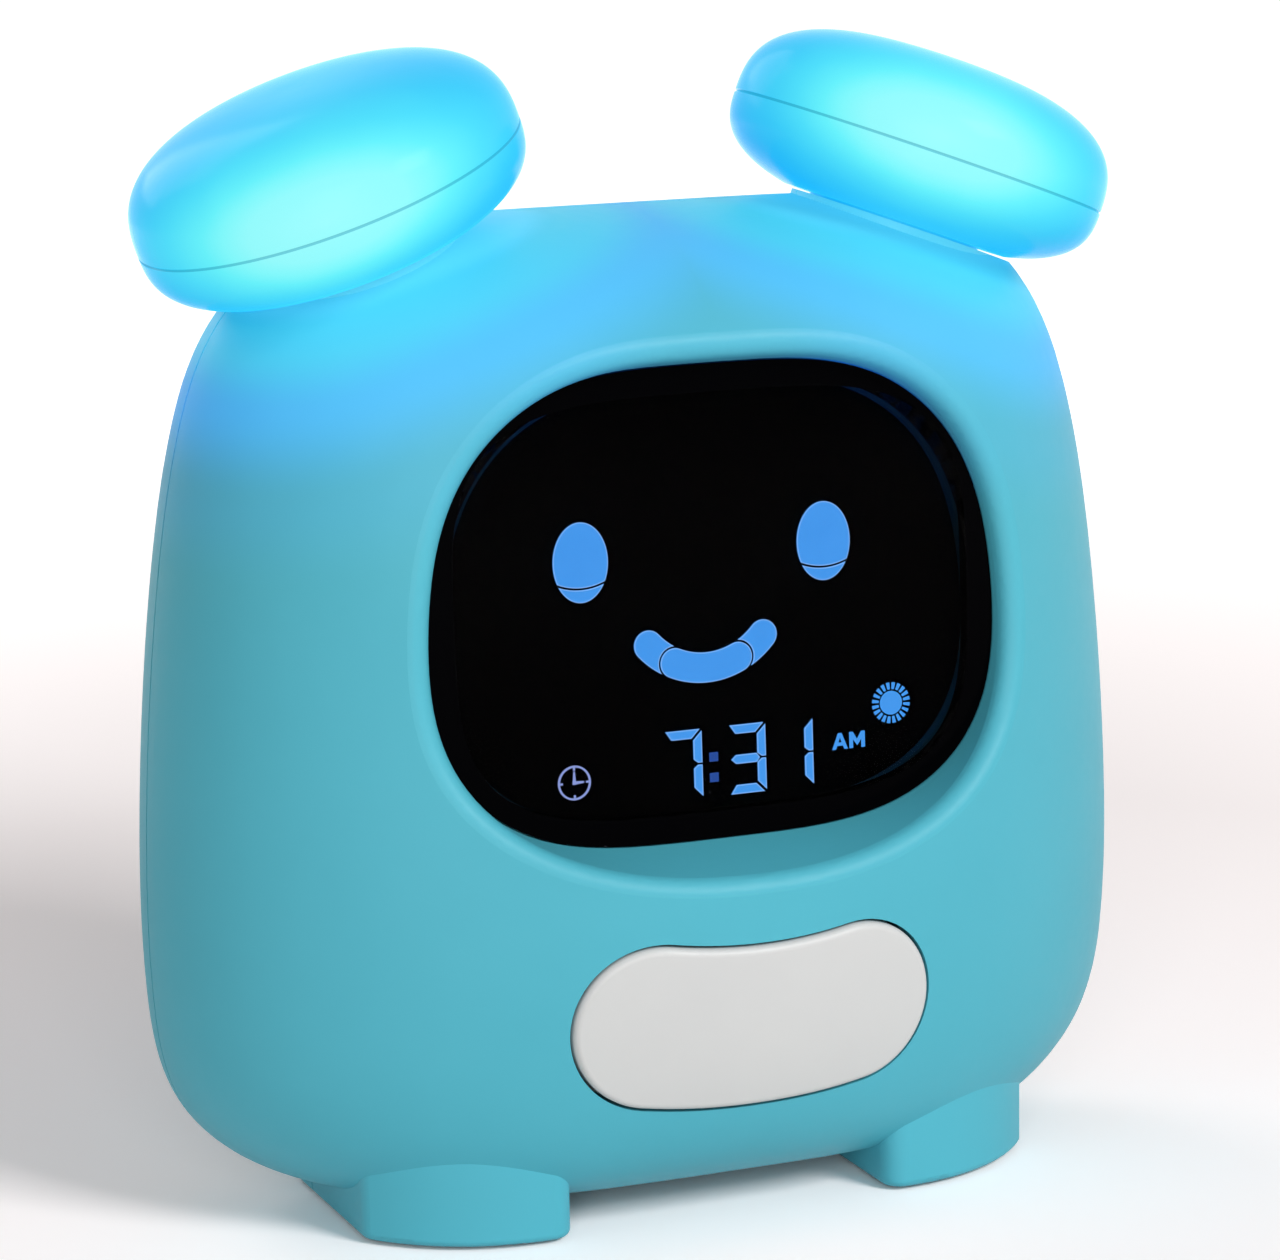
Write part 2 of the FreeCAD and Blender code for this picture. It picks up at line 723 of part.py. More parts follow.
for side, word in ((-1, "left"), (1, "right")):
    keep(word + "_lamp_top", lamp_place(lamp_top(), side))
    keep(word + "_lamp_base", lamp_place(lamp_base(), side))
    keep(word + "_lamp_board", lamp_place(lamp_board(), side))
    keep(word + "_lamp_leds", lamp_place(lamp_leds(), side))


def both_sides(shape):
    """The same shape at both lamps."""
    return lamp_place(shape, -1).fuse(lamp_place(shape, 1))


COLLARS = both_sides(lamp_cylinder(COLLAR_RADIUS, NECK_BOTTOM, -COLLAR_TOP))
COLLAR_HEADROOM = both_sides(lamp_cylinder(COLLAR_RADIUS + 3.2, -COLLAR_TOP, 20.0))
COLLAR_BORES = both_sides(lamp_cylinder(NECK_RADIUS + NECK_CLEARANCE, NECK_BOTTOM - 8.0, 0.0))
COLLAR_RIBS = both_sides(
    lamp_cylinder(COLLAR_RADIUS, RIB_MIDDLE - NECK_RIB_HEIGHT / 2, RIB_MIDDLE + NECK_RIB_HEIGHT / 2)
    .cut(lamp_cylinder(NECK_RADIUS - NECK_GROOVE + NECK_CLEARANCE, RIB_MIDDLE - 5.0, RIB_MIDDLE + 5.0)))

# Front shell

REAR_KEEPOUT = slab(-PARTING_GAP / 2, 200.0)
FRONT_KEEPOUT = slab(-200.0, PARTING_GAP / 2)
SMALL_HOLE_RADIUS = BOARD_SCREW_RADIUS + THREAD_CLEARANCE
SMALL_PASS_RADIUS = BOARD_SCREW_RADIUS + PASS_CLEARANCE
SNOOZE_SCREWS = [-SNOOZE_SCREW_SPAN, SNOOZE_SCREW_SPAN]
BUTTON_BACK = WELL_END + FLANGE_CLEARANCE + FLANGE_THICK
HOUSING_SCREWS = [(side * HOUSING_SCREW_X, z) for side in (-1, 1) for z in (HOUSING_SCREW_LOW, HOUSING_SCREW_HIGH)]
DISPLAY_SCREWS = [(sx * DISPLAY_SCREW_SPAN_X, sz * DISPLAY_SCREW_SPAN_Z) for sx in (-1, 1) for sz in (-1, 1)]


def front_shell():
    """Front shell: dome, recess for the window, button well, bosses, half collars, feet."""
    outer = front_dome(0.0)
    cup = on_display(flare(CUP_WALL, LEDGE_BACK))
    recess = on_display(flare(GLASS_CLEARANCE, 0.0))
    face = outer.cut(recess)
    rim = [e for e in face.Edges if e.BoundBox.YMax < GLASS_DEPTH - 2.0 and e.BoundBox.XLength > 60.0]
    face = face.makeFillet(RIM_ROUND, rim)
    cavity = front_dome(WALL)
    cavity = cavity.fuse(parting_prism(WALL, 0.0, 3.0))
    kept = [cup, bean_prism(BUTTON_GAP + WELL_WALL, -100.0, WELL_END), COLLARS]
    kept += [rod(x, z, BOSS_RADIUS, -60.0, -PARTING_GAP / 2) for x, z in HOUSING_SCREWS]
    kept += [rod(x, LOBE_HEIGHT, BOSS_RADIUS, -60.0, SNOOZE_BOARD_FACE) for x in SNOOZE_SCREWS]
    kept += [on_display(rod(x, z, BOSS_RADIUS, -40.0, EAR_FACE)) for x, z in DISPLAY_SCREWS]
    shell = face.fuse([COLLARS, FEET]).cut([cavity.cut(kept), FOOT_HOLLOWS])
    removed = [
        on_display(window_plate(GLASS_CLEARANCE, 0.0, SEAT_BACK)),
        on_display(window_plate(-LEDGE_WIDTH, 0.0, LEDGE_BACK + 1.0)),
        bean_prism(BUTTON_GAP, -100.0, WELL_END + 5.0),
        COLLAR_HEADROOM,
        COLLAR_BORES.cut(COLLAR_RIBS),
        PAD_RECESS,
        REAR_KEEPOUT,
    ]
    removed += [rod(x, z, SCREW_HOLE_RADIUS, -SCREW_LENGTH, 1.0) for x, z in HOUSING_SCREWS]
    removed += [rod(x, LOBE_HEIGHT, SMALL_HOLE_RADIUS, SNOOZE_BOARD_FACE - BOARD_SCREW_LENGTH, 0.0)
                for x in SNOOZE_SCREWS]
    removed += [on_display(rod(x, z, SMALL_HOLE_RADIUS, EAR_FACE - DISPLAY_SCREW_BITE, EAR_FACE + 1.0))
                for x, z in DISPLAY_SCREWS]
    return shell.cut(removed)


keep("front_shell", front_shell())


# Rear cover

REAR_FACE = REAR_DEPTH * REAR_FLAT
REAR_INNER = (REAR_DEPTH - WALL) * REAR_FLAT
HOUSING_SEAT = 3.0
HOUSING_TUBE_RADIUS = SCREW_HEAD_RADIUS + SCREW_HEAD_CLEARANCE + 1.2
BOARD_REAR = REAR_INNER - MAIN_BOARD_GAP
BOARD_FRONT = BOARD_REAR - MAIN_BOARD_THICK
BOARD_MIDDLE = (MAIN_BOARD_BOTTOM + MAIN_BOARD_TOP) / 2
BOARD_SCREW_INSET = 3.5
BOARD_SCREWS = [(side * (MAIN_BOARD_WIDTH / 2 - BOARD_SCREW_INSET), z) for side in (-1, 1)
                for z in (MAIN_BOARD_BOTTOM + BOARD_SCREW_INSET, MAIN_BOARD_TOP - BOARD_SCREW_INSET)]
BOARD_BOSS_RADIUS = 3.0
KEY_PLACES = [(index - (len(KEY_NAMES) - 1) / 2) * KEY_PITCH for index in range(len(KEY_NAMES))]

CELL_PITCH = 2 * CELL_RADIUS + CELL_GAP
POCKET_LENGTH = CELL_LENGTH + 2 * CONTACT_SPACE
POCKET_TALL = 3 * CELL_PITCH + CELL_GAP
POCKET_FLOOR = REAR_FACE - DOOR_THICK - 2 * CELL_GAP - 2 * CELL_RADIUS
CELL_Y = POCKET_FLOOR + CELL_GAP + CELL_RADIUS
CELL_ROWS = [BATTERY_MIDDLE + row * CELL_PITCH for row in (-1, 0, 1)]
DOOR_LENGTH = POCKET_LENGTH + 2 * DOOR_LEDGE
DOOR_TALL = POCKET_TALL + 2 * DOOR_LEDGE
DOOR_EAR_Z = BATTERY_MIDDLE + DOOR_TALL / 2 + DOOR_EAR_RADIUS / 4
DOOR_BACK = REAR_FACE - DOOR_THICK
GRILLE_LENGTH = 2 * (SPEAKER_RADIUS - 2 * SPEAKER_RIM)


def door_outline(grow, y_from, y_to):
    """The battery door's plate with its screw ear, grown by a clearance."""
    plate = block(0, BATTERY_MIDDLE, DOOR_LENGTH + 2 * grow, DOOR_TALL + 2 * grow, y_from, y_to)
    return plate.fuse(rod(0, DOOR_EAR_Z, DOOR_EAR_RADIUS + grow, y_from, y_to)).removeSplitter()


def usb_form(grow, y_from, y_to):
    """The rounded outline of the power inlet, drawn along Y."""
    radius = USB_TALL / 2 + grow
    reach = USB_WIDTH / 2 - USB_TALL / 2
    bar = block(USB_X, USB_HEIGHT, 2 * reach, 2 * radius, y_from, y_to)
    left = rod(USB_X - reach, USB_HEIGHT, radius, y_from, y_to)
    right = rod(USB_X + reach, USB_HEIGHT, radius, y_from, y_to)
    return bar.fuse([left, right]).removeSplitter()


def ring_bar(x, z, outer, inner, y_from, y_to):
    """A round tube along Y."""
    return rod(x, z, outer, y_from, y_to).cut(rod(x, z, inner, y_from - 1.0, y_to + 1.0))


def lip():
    """The rim that reaches from the rear cover into the front shell."""
    outer = parting_prism(WALL + LIP_CLEARANCE, -LIP_DEPTH, PARTING_GAP)
    root = parting_prism(WALL - 0.5, PARTING_GAP / 2, 3.0)
    hole = parting_prism(WALL + LIP_CLEARANCE + LIP_THICK, -LIP_DEPTH - 1.0, 4.0)
    return outer.fuse(root).cut(hole)


USB_MOUTH = REAR_FACE - USB_RECESS
USB_BACK = USB_MOUTH - USB_DEPTH
USB_BOARD_TOP = USB_HEIGHT - USB_TALL / 2
USB_BOARD_BACK = USB_BACK - USB_BOARD_TAIL
USB_RIB_Z = USB_BOARD_TOP - USB_BOARD_THICK - USB_RIB_TALL / 2


def rear_cover():
    """Rear cover: dome, flat panel, battery box, bosses, grille, key holes, half collars, feet."""
    outer = rear_dome(0.0)
    cavity = rear_dome(WALL).fuse(parting_prism(WALL, -3.0, 0.0))
    box_length = POCKET_LENGTH + 2 * BATTERY_WALL
    box_tall = POCKET_TALL + 2 * BATTERY_WALL
    speaker_seat = SPEAKER_RADIUS + SPEAKER_SEAT_CLEARANCE
    kept = [
        COLLARS,
        block(0, BATTERY_MIDDLE, box_length, box_tall, POCKET_FLOOR - BATTERY_WALL, REAR_FACE),
        door_outline(BATTERY_WALL, DOOR_BACK - BATTERY_WALL, REAR_FACE),
        rod(0, DOOR_EAR_Z, DOOR_SCREW_BOSS, DOOR_BACK - BOARD_SCREW_LENGTH - 1.0, REAR_FACE),
        ring_bar(SPEAKER_X, SPEAKER_HEIGHT, speaker_seat + BATTERY_WALL, speaker_seat,
                 REAR_INNER - SPEAKER_SEAT_DEPTH, REAR_FACE),
    ]
    kept += [rod(x, z, HOUSING_TUBE_RADIUS, PARTING_GAP / 2, 60.0) for x, z in HOUSING_SCREWS]
    kept += [rod(x, z, BOARD_BOSS_RADIUS, BOARD_REAR, REAR_FACE) for x, z in BOARD_SCREWS]
    kept += [block(USB_X + side * USB_RIB_SPREAD, USB_RIB_Z, USB_RIB_WIDTH, USB_RIB_TALL, USB_BOARD_BACK, REAR_FACE)
             for side in (-1, 1)]
    shell = outer.fuse([COLLARS, FEET]).cut([cavity.cut(kept), FOOT_HOLLOWS])
    shell = shell.cut(FRONT_KEEPOUT).fuse(lip())
    pass_head = SCREW_HEAD_RADIUS + SCREW_HEAD_CLEARANCE
    removed = [
        COLLAR_HEADROOM,
        COLLAR_BORES.cut(COLLAR_RIBS),
        both_sides(lamp_cylinder(COLLAR_RADIUS + LIP_CLEARANCE, NECK_BOTTOM - 3.0, 0.0)).cut(REAR_KEEPOUT),
        PAD_RECESS,
        block(0, BATTERY_MIDDLE, POCKET_LENGTH, POCKET_TALL, POCKET_FLOOR, 60.0),
        door_outline(DOOR_GAP, DOOR_BACK, 60.0),
        rod(0, DOOR_EAR_Z, SMALL_HOLE_RADIUS, DOOR_BACK - BOARD_SCREW_LENGTH, 60.0),
        usb_form(USB_CLEARANCE, REAR_INNER - 1.0, 60.0),
        block(SLIDER_X, SLIDER_HEIGHT, SLIDER_KNOB + SLIDER_TRAVEL + 2 * SLIDER_CLEARANCE,
              SLIDER_KNOB_TALL + 2 * SLIDER_CLEARANCE, REAR_INNER - 1.0, 60.0),
    ]
    removed += [rod(x, KEY_HEIGHT, KEY_RADIUS + KEY_CLEARANCE, REAR_INNER - 1.0, 60.0) for x in KEY_PLACES]
    removed += [rod(x, z, SCREW_PASS_RADIUS, -5.0, 60.0) for x, z in HOUSING_SCREWS]
    removed += [rod(x, z, pass_head, HOUSING_SEAT, 60.0) for x, z in HOUSING_SCREWS]
    removed += [rod(x, z, BOSS_RADIUS + LIP_CLEARANCE, -5.0, 0.0) for x, z in HOUSING_SCREWS]
    removed += [rod(x, z, SMALL_HOLE_RADIUS, BOARD_REAR - 1.0, BOARD_REAR + BOARD_SCREW_LENGTH)
                for x, z in BOARD_SCREWS]
    for row in range(GRILLE_ROWS):
        rise = (row - (GRILLE_ROWS - 1) / 2) * GRILLE_PITCH
        half = math.sqrt((GRILLE_LENGTH / 2) ** 2 - (rise * 0.9) ** 2)
        removed.append(block(SPEAKER_X, SPEAKER_HEIGHT + rise, 2 * half, GRILLE_SLOT, REAR_INNER - 1.0, 60.0))
    return shell.cut(removed)


keep("rear_cover", rear_cover())

# Display stack


def frame_rods(radius, y_from, y_to):
    """Round bars at the four screw places of the display frame."""
    return [rod(x, z, radius, y_from, y_to) for x, z in DISPLAY_SCREWS]


def display_frame():
    """Black frame with four ears, which holds the panel and its boards against the shell."""
    outer = window_plate(CUP_WALL - FRAME_INSET, LEDGE_BACK, BACKLIGHT_BACK)
    ears = frame_rods(BOSS_RADIUS, EAR_FACE, BACKLIGHT_BACK)
    for x, z in DISPLAY_SCREWS:
        middle = x - math.copysign(EAR_REACH / 2, x)
        ears.append(block(middle, z, EAR_REACH, 2 * BOSS_RADIUS, EAR_FACE, BACKLIGHT_BACK))
    hole = window_plate(PANEL_INSET + PANEL_CLEARANCE, LEDGE_BACK - 1.0, BACKLIGHT_BACK + 1.0)
    return outer.fuse(ears).cut([hole] + frame_rods(SMALL_PASS_RADIUS, 0.0, BACKLIGHT_BACK + 1.0))


def display_screws():
    """Four small screws through the frame's ears."""
    length = FRAME_THICK + DISPLAY_SCREW_BITE - SCREW_TIP_CLEARANCE
    screws = [screw(x, z, BACKLIGHT_BACK, -1, BOARD_SCREW_RADIUS, length, BOARD_SCREW_HEAD, BOARD_SCREW_HEAD_HEIGHT)
              for x, z in DISPLAY_SCREWS]
    return group(screws)


PANEL_INSET = PANEL_OVERLAP - LEDGE_WIDTH
TAPE = window_plate(-TAPE_INSET, GLASS_THICK, SEAT_BACK)
TAPE = TAPE.cut(window_plate(-TAPE_WIDTH, GLASS_THICK - 1.0, SEAT_BACK + 1.0))
keep("display_window", on_display(window_plate(0.0, 0.0, GLASS_THICK)))
keep("window_tape", on_display(TAPE))
keep("display_frame", on_display(display_frame()))
keep("display_panel", on_display(window_plate(PANEL_INSET, PANEL_FACE, PANEL_BACK)))
keep("display_backlight", on_display(window_plate(PANEL_INSET, PANEL_BACK, BACKLIGHT_BACK)))
keep("display_board", on_display(window_plate(DISPLAY_BOARD_OVERLAP, BACKLIGHT_BACK, DISPLAY_BOARD_BACK)))
keep("display_screws", on_display(display_screws()))

# Lit segments, flat on the panel


def sheet(face):
    """A flat outline drawn at Y = 0 made into a lit segment on the panel."""
    solid = face.extrude(V(0, SEGMENT_THICK, 0))
    solid.translate(V(0, SEGMENT_FACE, 0))
    return solid


def flat_polygon(points):
    """A flat outline from (x, z) points."""
    corners = [V(x, 0, z) for x, z in points]
    return Part.Face(Part.makePolygon(corners + corners[:1]))


def flat_disc(x, z, radius):
    """A flat round outline."""
    return Part.Face(Part.Wire([Part.Circle(V(x, 0, z), V(0, -1, 0), radius).toShape()]))


def eye(side):
    """An egg-shaped eye in two pieces, parted by a sagging lid line."""
    x = side * EYE_SPREAD
    ellipse = Part.Ellipse(V(x, 0, EYE_HEIGHT + EYE_HALF_HEIGHT), V(x + EYE_HALF_WIDTH, 0, EYE_HEIGHT),
                           V(x, 0, EYE_HEIGHT))
    whole = sheet(Part.Face(Part.Wire([ellipse.toShape()])))
    lid_radius = (EYE_HALF_WIDTH ** 2 + EYE_LID_SAG ** 2) / (2 * EYE_LID_SAG)
    lid_centre = EYE_HEIGHT - EYE_LID_DROP - EYE_LID_SAG + lid_radius
    upper = whole.common(sheet(flat_disc(x, lid_centre, lid_radius)))
    lower = whole.cut(sheet(flat_disc(x, lid_centre, lid_radius + SEGMENT_GAP)))
    return [upper, lower]


def arc_band(radius, width, centre_z, from_angle, to_angle, round_ends):
    """A curved bar about a centre; angles in degrees from straight down."""
    def at(distance, angle):
        turn = math.radians(angle)
        return V(distance * math.sin(turn), 0, centre_z - distance * math.cos(turn))

    middle = (from_angle + to_angle) / 2
    outer = radius + width / 2
    inner = radius - width / 2
    edges = [
        Part.Arc(at(outer, from_angle), at(outer, middle), at(outer, to_angle)).toShape(),
        Part.LineSegment(at(outer, to_angle), at(inner, to_angle)).toShape(),
        Part.Arc(at(inner, to_angle), at(inner, middle), at(inner, from_angle)).toShape(),
        Part.LineSegment(at(inner, from_angle), at(outer, from_angle)).toShape(),
    ]
    band = sheet(Part.Face(Part.Wire(edges)))
    ends = [sheet(flat_disc(at(radius, angle).x, at(radius, angle).z, width / 2)) for angle in round_ends]
    return band.fuse(ends).removeSplitter() if ends else band


def mouth():
    """A smile in three pieces: a wide middle with round ends and two tips."""
    centre = MOUTH_HEIGHT + MOUTH_RADIUS
    middle_half = MOUTH_SPLIT_ANGLE - math.degrees(MOUTH_WIDTH / 2 / MOUTH_RADIUS) * 0.55
    middle = arc_band(MOUTH_RADIUS, MOUTH_WIDTH, centre, -middle_half, middle_half, [-middle_half, middle_half])
    clear = arc_band(MOUTH_RADIUS, MOUTH_WIDTH + 2 * SEGMENT_GAP, centre, -middle_half, middle_half,
                     [-middle_half, middle_half])
    pieces = [middle]
    for side in (-1, 1):
        low, high = sorted((side * middle_half, side * MOUTH_HALF_ANGLE))
        tip = arc_band(MOUTH_RADIUS, MOUTH_WIDTH, centre, low, high, [side * MOUTH_HALF_ANGLE])
        pieces.append(tip.cut(clear))
    return pieces


def stroke_polygons():
    """The seven strokes of a digit in a box from (0, 0), by their usual letters."""
    wide = DIGIT_WIDTH
    tall = DIGIT_HEIGHT
    stroke = DIGIT_STROKE
    gap = SEGMENT_GAP / 2
    half = tall / 2
    bar = stroke / 2
    upper = [(wide, tall - gap * 2), (wide - stroke, tall - stroke - gap * 2), (wide - stroke, half + bar),
             (wide - bar, half + gap), (wide, half + gap)]
    lower = [(x, tall - z) for x, z in upper]
    top = [(gap, tall), (wide - gap * 2, tall), (wide - stroke - gap * 2, tall - stroke), (stroke * 0.8, tall - stroke)]
    foot = [(x, tall - z) for x, z in top]
    middle = [(gap * 2, half), (bar * 1.6, half + bar), (wide - stroke - gap, half + bar),
              (wide - bar - gap * 2, half), (wide - stroke - gap, half - bar), (bar * 1.6, half - bar)]
    return {"a": top, "b": upper, "c": lower, "d": foot, "g": middle}


def digit(x, strokes):
    """A digit at a place along the row."""
    shapes = stroke_polygons()
    return [sheet(flat_polygon([(x + px, DIGIT_BASE + pz) for px, pz in shapes[name]])) for name in strokes]


def letters():
    """The two letters of the morning mark, cut from plain bars."""
    wide = MARK_WIDTH
    tall = MARK_HEIGHT
    bar = MARK_STROKE
    slope = (wide / 2 - bar / 2) / tall
    first = [(0, 0), (wide / 2 - bar / 2, tall), (wide / 2 + bar / 2, tall), (wide, 0), (wide - bar, 0),
             (wide - bar - slope * bar * 0.9, bar), (bar + slope * bar * 0.9, bar), (bar, 0)]
    hole_low = 1.9 * bar
    hole = [(bar + slope * hole_low, hole_low), (wide / 2, tall - bar), (wide - bar - slope * hole_low, hole_low)]
    step = wide + bar * 0.6
    second = [(0, 0), (0, tall), (bar, tall), (wide / 2, tall - 2.2 * bar), (wide - bar, tall), (wide, tall),
              (wide, 0), (wide - bar, 0), (wide - bar, tall - 2 * bar), (wide / 2, tall - 3.8 * bar),
              (bar, tall - 2 * bar), (bar, 0)]
    first_face = flat_polygon([(MARK_X + x, MARK_BASE + z) for x, z in first])
    hole_face = flat_polygon([(MARK_X + x, MARK_BASE + z) for x, z in hole])
    second_face = flat_polygon([(MARK_X + step + x, MARK_BASE + z) for x, z in second])
    return [sheet(first_face).cut(sheet(hole_face)), sheet(second_face)]


def sun():
    """A disc with a ring of short rays."""
    pieces = [sheet(flat_disc(SUN_X, SUN_HEIGHT, SUN_DISC_RADIUS))]
    half = math.radians(360 / SUN_RAY_COUNT * 0.27)
    for step in range(SUN_RAY_COUNT):
        angle = 2 * math.pi * (step + 0.5) / SUN_RAY_COUNT
        ray = []
        for radius, turn in ((SUN_RAY_INNER, -half), (SUN_RAY_OUTER, -half), (SUN_RAY_OUTER, half),
                             (SUN_RAY_INNER, half)):
            ray.append((SUN_X + radius * math.cos(angle + turn), SUN_HEIGHT + radius * math.sin(angle + turn)))
        pieces.append(sheet(flat_polygon(ray)))
    return pieces


def alarm_mark():
    """A small clock face: ring, four ticks and two hands."""
    ring = sheet(flat_disc(BELL_X, BELL_HEIGHT, BELL_RING_RADIUS)).cut(
        sheet(flat_disc(BELL_X, BELL_HEIGHT, BELL_RING_RADIUS - BELL_STROKE)))
    parts = []
    inner = BELL_RING_RADIUS - BELL_STROKE
    half = BELL_STROKE / 2
    for turn in range(4):
        angle = math.pi / 2 * turn
        direction = (math.cos(angle), math.sin(angle))
        across = (-direction[1] * half, direction[0] * half)
        tick = []
        for distance, sign in ((inner - 0.35, -1), (inner + half, -1), (inner + half, 1), (inner - 0.35, 1)):
            tick.append((BELL_X + direction[0] * distance + across[0] * sign,
                         BELL_HEIGHT + direction[1] * distance + across[1] * sign))
        parts.append(sheet(flat_polygon(tick)))
    thick = BELL_STROKE * 0.9
    up = [(-thick, -thick), (-thick * 0.4, 1.3), (thick * 0.4, 1.3), (thick, -thick)]
    along = [(-thick, -thick), (1.15, -thick * 0.4), (1.15, thick * 0.6), (-thick, thick)]
    hands = sheet(flat_polygon([(BELL_X + x, BELL_HEIGHT + z) for x, z in up])).fuse(
        sheet(flat_polygon([(BELL_X + x, BELL_HEIGHT + z) for x, z in along])))
    return [ring.fuse(parts), hands]


COLON_MIDDLE = DIGIT_BASE + DIGIT_HEIGHT / 2 - 0.6
COLON = [sheet(flat_polygon([(COLON_X - COLON_SIZE / 2, z), (COLON_X + COLON_SIZE / 2, z),
                             (COLON_X + COLON_SIZE / 2, z + COLON_SIZE), (COLON_X - COLON_SIZE / 2, z + COLON_SIZE)]))
         for z in (COLON_MIDDLE - COLON_PITCH / 2 - COLON_SIZE / 2, COLON_MIDDLE + COLON_PITCH / 2 - COLON_SIZE / 2)]
DIGITS = digit(DIGIT_SEVEN_X, "abc") + digit(DIGIT_THREE_X, "abcdg") + digit(DIGIT_ONE_X, "bc")

keep("eye_segments", on_display(group(eye(-1) + eye(1))))
keep("mouth_segments", on_display(group(mouth())))
keep("digit_segments", on_display(group(DIGITS)))
keep("colon_segments", on_display(group(COLON)))
keep("morning_mark", on_display(group(letters())))
keep("sun_mark", on_display(group(sun())))
keep("alarm_mark", on_display(group(alarm_mark())))

# Snooze button and its switch

SNOOZE_BOARD_BACK = SNOOZE_BOARD_FACE + SNOOZE_BOARD_THICK
SWITCH_TOP = SWITCH_HEIGHT + SWITCH_PLUNGER_HEIGHT


def snooze_button():
    """Hollow bean-shaped cap with a retaining flange, two spring posts and a middle stem."""
    cap = bean_prism(0.0, -100.0, BUTTON_BACK).common(front_dome(-BUTTON_PROUD))
    edge = [e for e in cap.Edges if e.BoundBox.YMax < WELL_END - 1.0 and e.BoundBox.YMin > -FRONT_DEPTH - 1.0]
    cap = cap.makeFillet(BUTTON_EDGE_ROUND, edge)
    hollow = bean_prism(-BUTTON_WALL, -100.0, BUTTON_BACK + 1.0).common(front_dome(BUTTON_WALL))
    flange = bean_prism(BUTTON_FLANGE, BUTTON_BACK - FLANGE_THICK, BUTTON_BACK)
    flange = flange.cut(bean_prism(-BUTTON_WALL, BUTTON_BACK - 5.0, BUTTON_BACK + 1.0))
    stem_end = SNOOZE_BOARD_FACE - SWITCH_TOP - SWITCH_MARGIN - BUTTON_TRAVEL
    posts = [rod(0, LOBE_HEIGHT, BUTTON_POST_RADIUS, -60.0, stem_end)]
    for x in (-LOBE_SPREAD, LOBE_SPREAD):
        posts.append(rod(x, LOBE_HEIGHT, BUTTON_POST_RADIUS, -60.0, BUTTON_BACK + BUTTON_POST_REACH))
        posts.append(rod(x, LOBE_HEIGHT, SPRING_RADIUS + SPRING_SEAT_WIDTH, -60.0, BUTTON_BACK))
    inside = front_dome(BUTTON_WALL / 2)
    posts = posts[0].fuse(posts[1:]).common(inside)
    return cap.cut(hollow).fuse([flange, posts])


def switch_body(x, z, y_base, direction):
    """A square push switch standing on a board; direction is the way it faces."""
    top = y_base + direction * SWITCH_HEIGHT
    tip = y_base + direction * SWITCH_TOP
    body = block(x, z, SWITCH_SIZE, SWITCH_SIZE, min(y_base, top), max(y_base, top))
    return body.fuse(rod(x, z, SWITCH_PLUNGER_RADIUS, min(top, tip), max(top, tip)))


def snooze_board():
    """Narrow board behind the button, on two bosses."""
    plate = block(0, LOBE_HEIGHT, 2 * (SNOOZE_SCREW_SPAN + BOSS_RADIUS), 2 * BOSS_RADIUS + 5.0,
                  SNOOZE_BOARD_FACE, SNOOZE_BOARD_BACK)
    return plate.cut([rod(x, LOBE_HEIGHT, SMALL_HOLE_RADIUS + 0.15, SNOOZE_BOARD_FACE - 1.0, SNOOZE_BOARD_BACK + 1.0)
                      for x in SNOOZE_SCREWS])


def snooze_springs():
    """Two return springs round the button's posts."""
    length = SNOOZE_BOARD_FACE - BUTTON_BACK
    wire = SPRING_WIRE
    springs = []
    for x in (-LOBE_SPREAD, LOBE_SPREAD):
        start = V(x, BUTTON_BACK + wire / 2 + COIL_CLEARANCE, LOBE_HEIGHT)
        springs.append(coil(start, SPRING_RADIUS, wire, SPRING_TURNS, length - wire - 2 * COIL_CLEARANCE))
    return group(springs)


keep("snooze_button", snooze_button())
keep("snooze_springs", snooze_springs())
keep("snooze_board", snooze_board())
keep("snooze_switch", switch_body(0, LOBE_HEIGHT, SNOOZE_BOARD_FACE, -1))
keep("snooze_screws", group([screw(x, LOBE_HEIGHT, SNOOZE_BOARD_BACK, -1, BOARD_SCREW_RADIUS,
                                   BOARD_SCREW_LENGTH, BOARD_SCREW_HEAD, BOARD_SCREW_HEAD_HEIGHT)
                             for x in SNOOZE_SCREWS]))

# Main board, rear keys and the alarm slide switch


def main_board():
    """Main board on four bosses of the rear cover."""
    plate = block(0, BOARD_MIDDLE, MAIN_BOARD_WIDTH, MAIN_BOARD_TOP - MAIN_BOARD_BOTTOM, BOARD_FRONT, BOARD_REAR)
    return plate.cut([rod(x, z, SMALL_HOLE_RADIUS + 0.15, BOARD_FRONT - 1.0, BOARD_REAR + 1.0)
                      for x, z in BOARD_SCREWS])


KEY_STEM_END = BOARD_REAR + SWITCH_TOP + SWITCH_MARGIN + KEY_TRAVEL
KEY_FLANGE_BACK = REAR_INNER - FLANGE_CLEARANCE


def rear_key(x):
    """A round key with a flange behind the panel and a stem to its switch."""
    cap = rod(x, KEY_HEIGHT, KEY_RADIUS, KEY_FLANGE_BACK - 0.5, REAR_FACE + KEY_PROUD)
    top = [e for e in cap.Edges if e.BoundBox.YMin > REAR_FACE + KEY_PROUD - 0.01]
    cap = cap.makeFillet(KEY_PROUD * 0.5, top)
    flange = rod(x, KEY_HEIGHT, KEY_RADIUS + KEY_FLANGE, KEY_FLANGE_BACK - KEY_FLANGE_THICK, KEY_FLANGE_BACK)
    stem = rod(x, KEY_HEIGHT, KEY_STEM_RADIUS, KEY_STEM_END, KEY_FLANGE_BACK)
    return cap.fuse([flange, stem]).removeSplitter()


for index, name in enumerate(KEY_NAMES):
    keep(name, rear_key(KEY_PLACES[index]))
keep("main_board", main_board())
keep("key_switches", group([switch_body(x, KEY_HEIGHT, BOARD_REAR, 1) for x in KEY_PLACES]))
keep("board_screws", group([screw(x, z, BOARD_FRONT, 1, BOARD_SCREW_RADIUS, BOARD_SCREW_LENGTH,
                                  BOARD_SCREW_HEAD, BOARD_SCREW_HEAD_HEIGHT) for x, z in BOARD_SCREWS]))

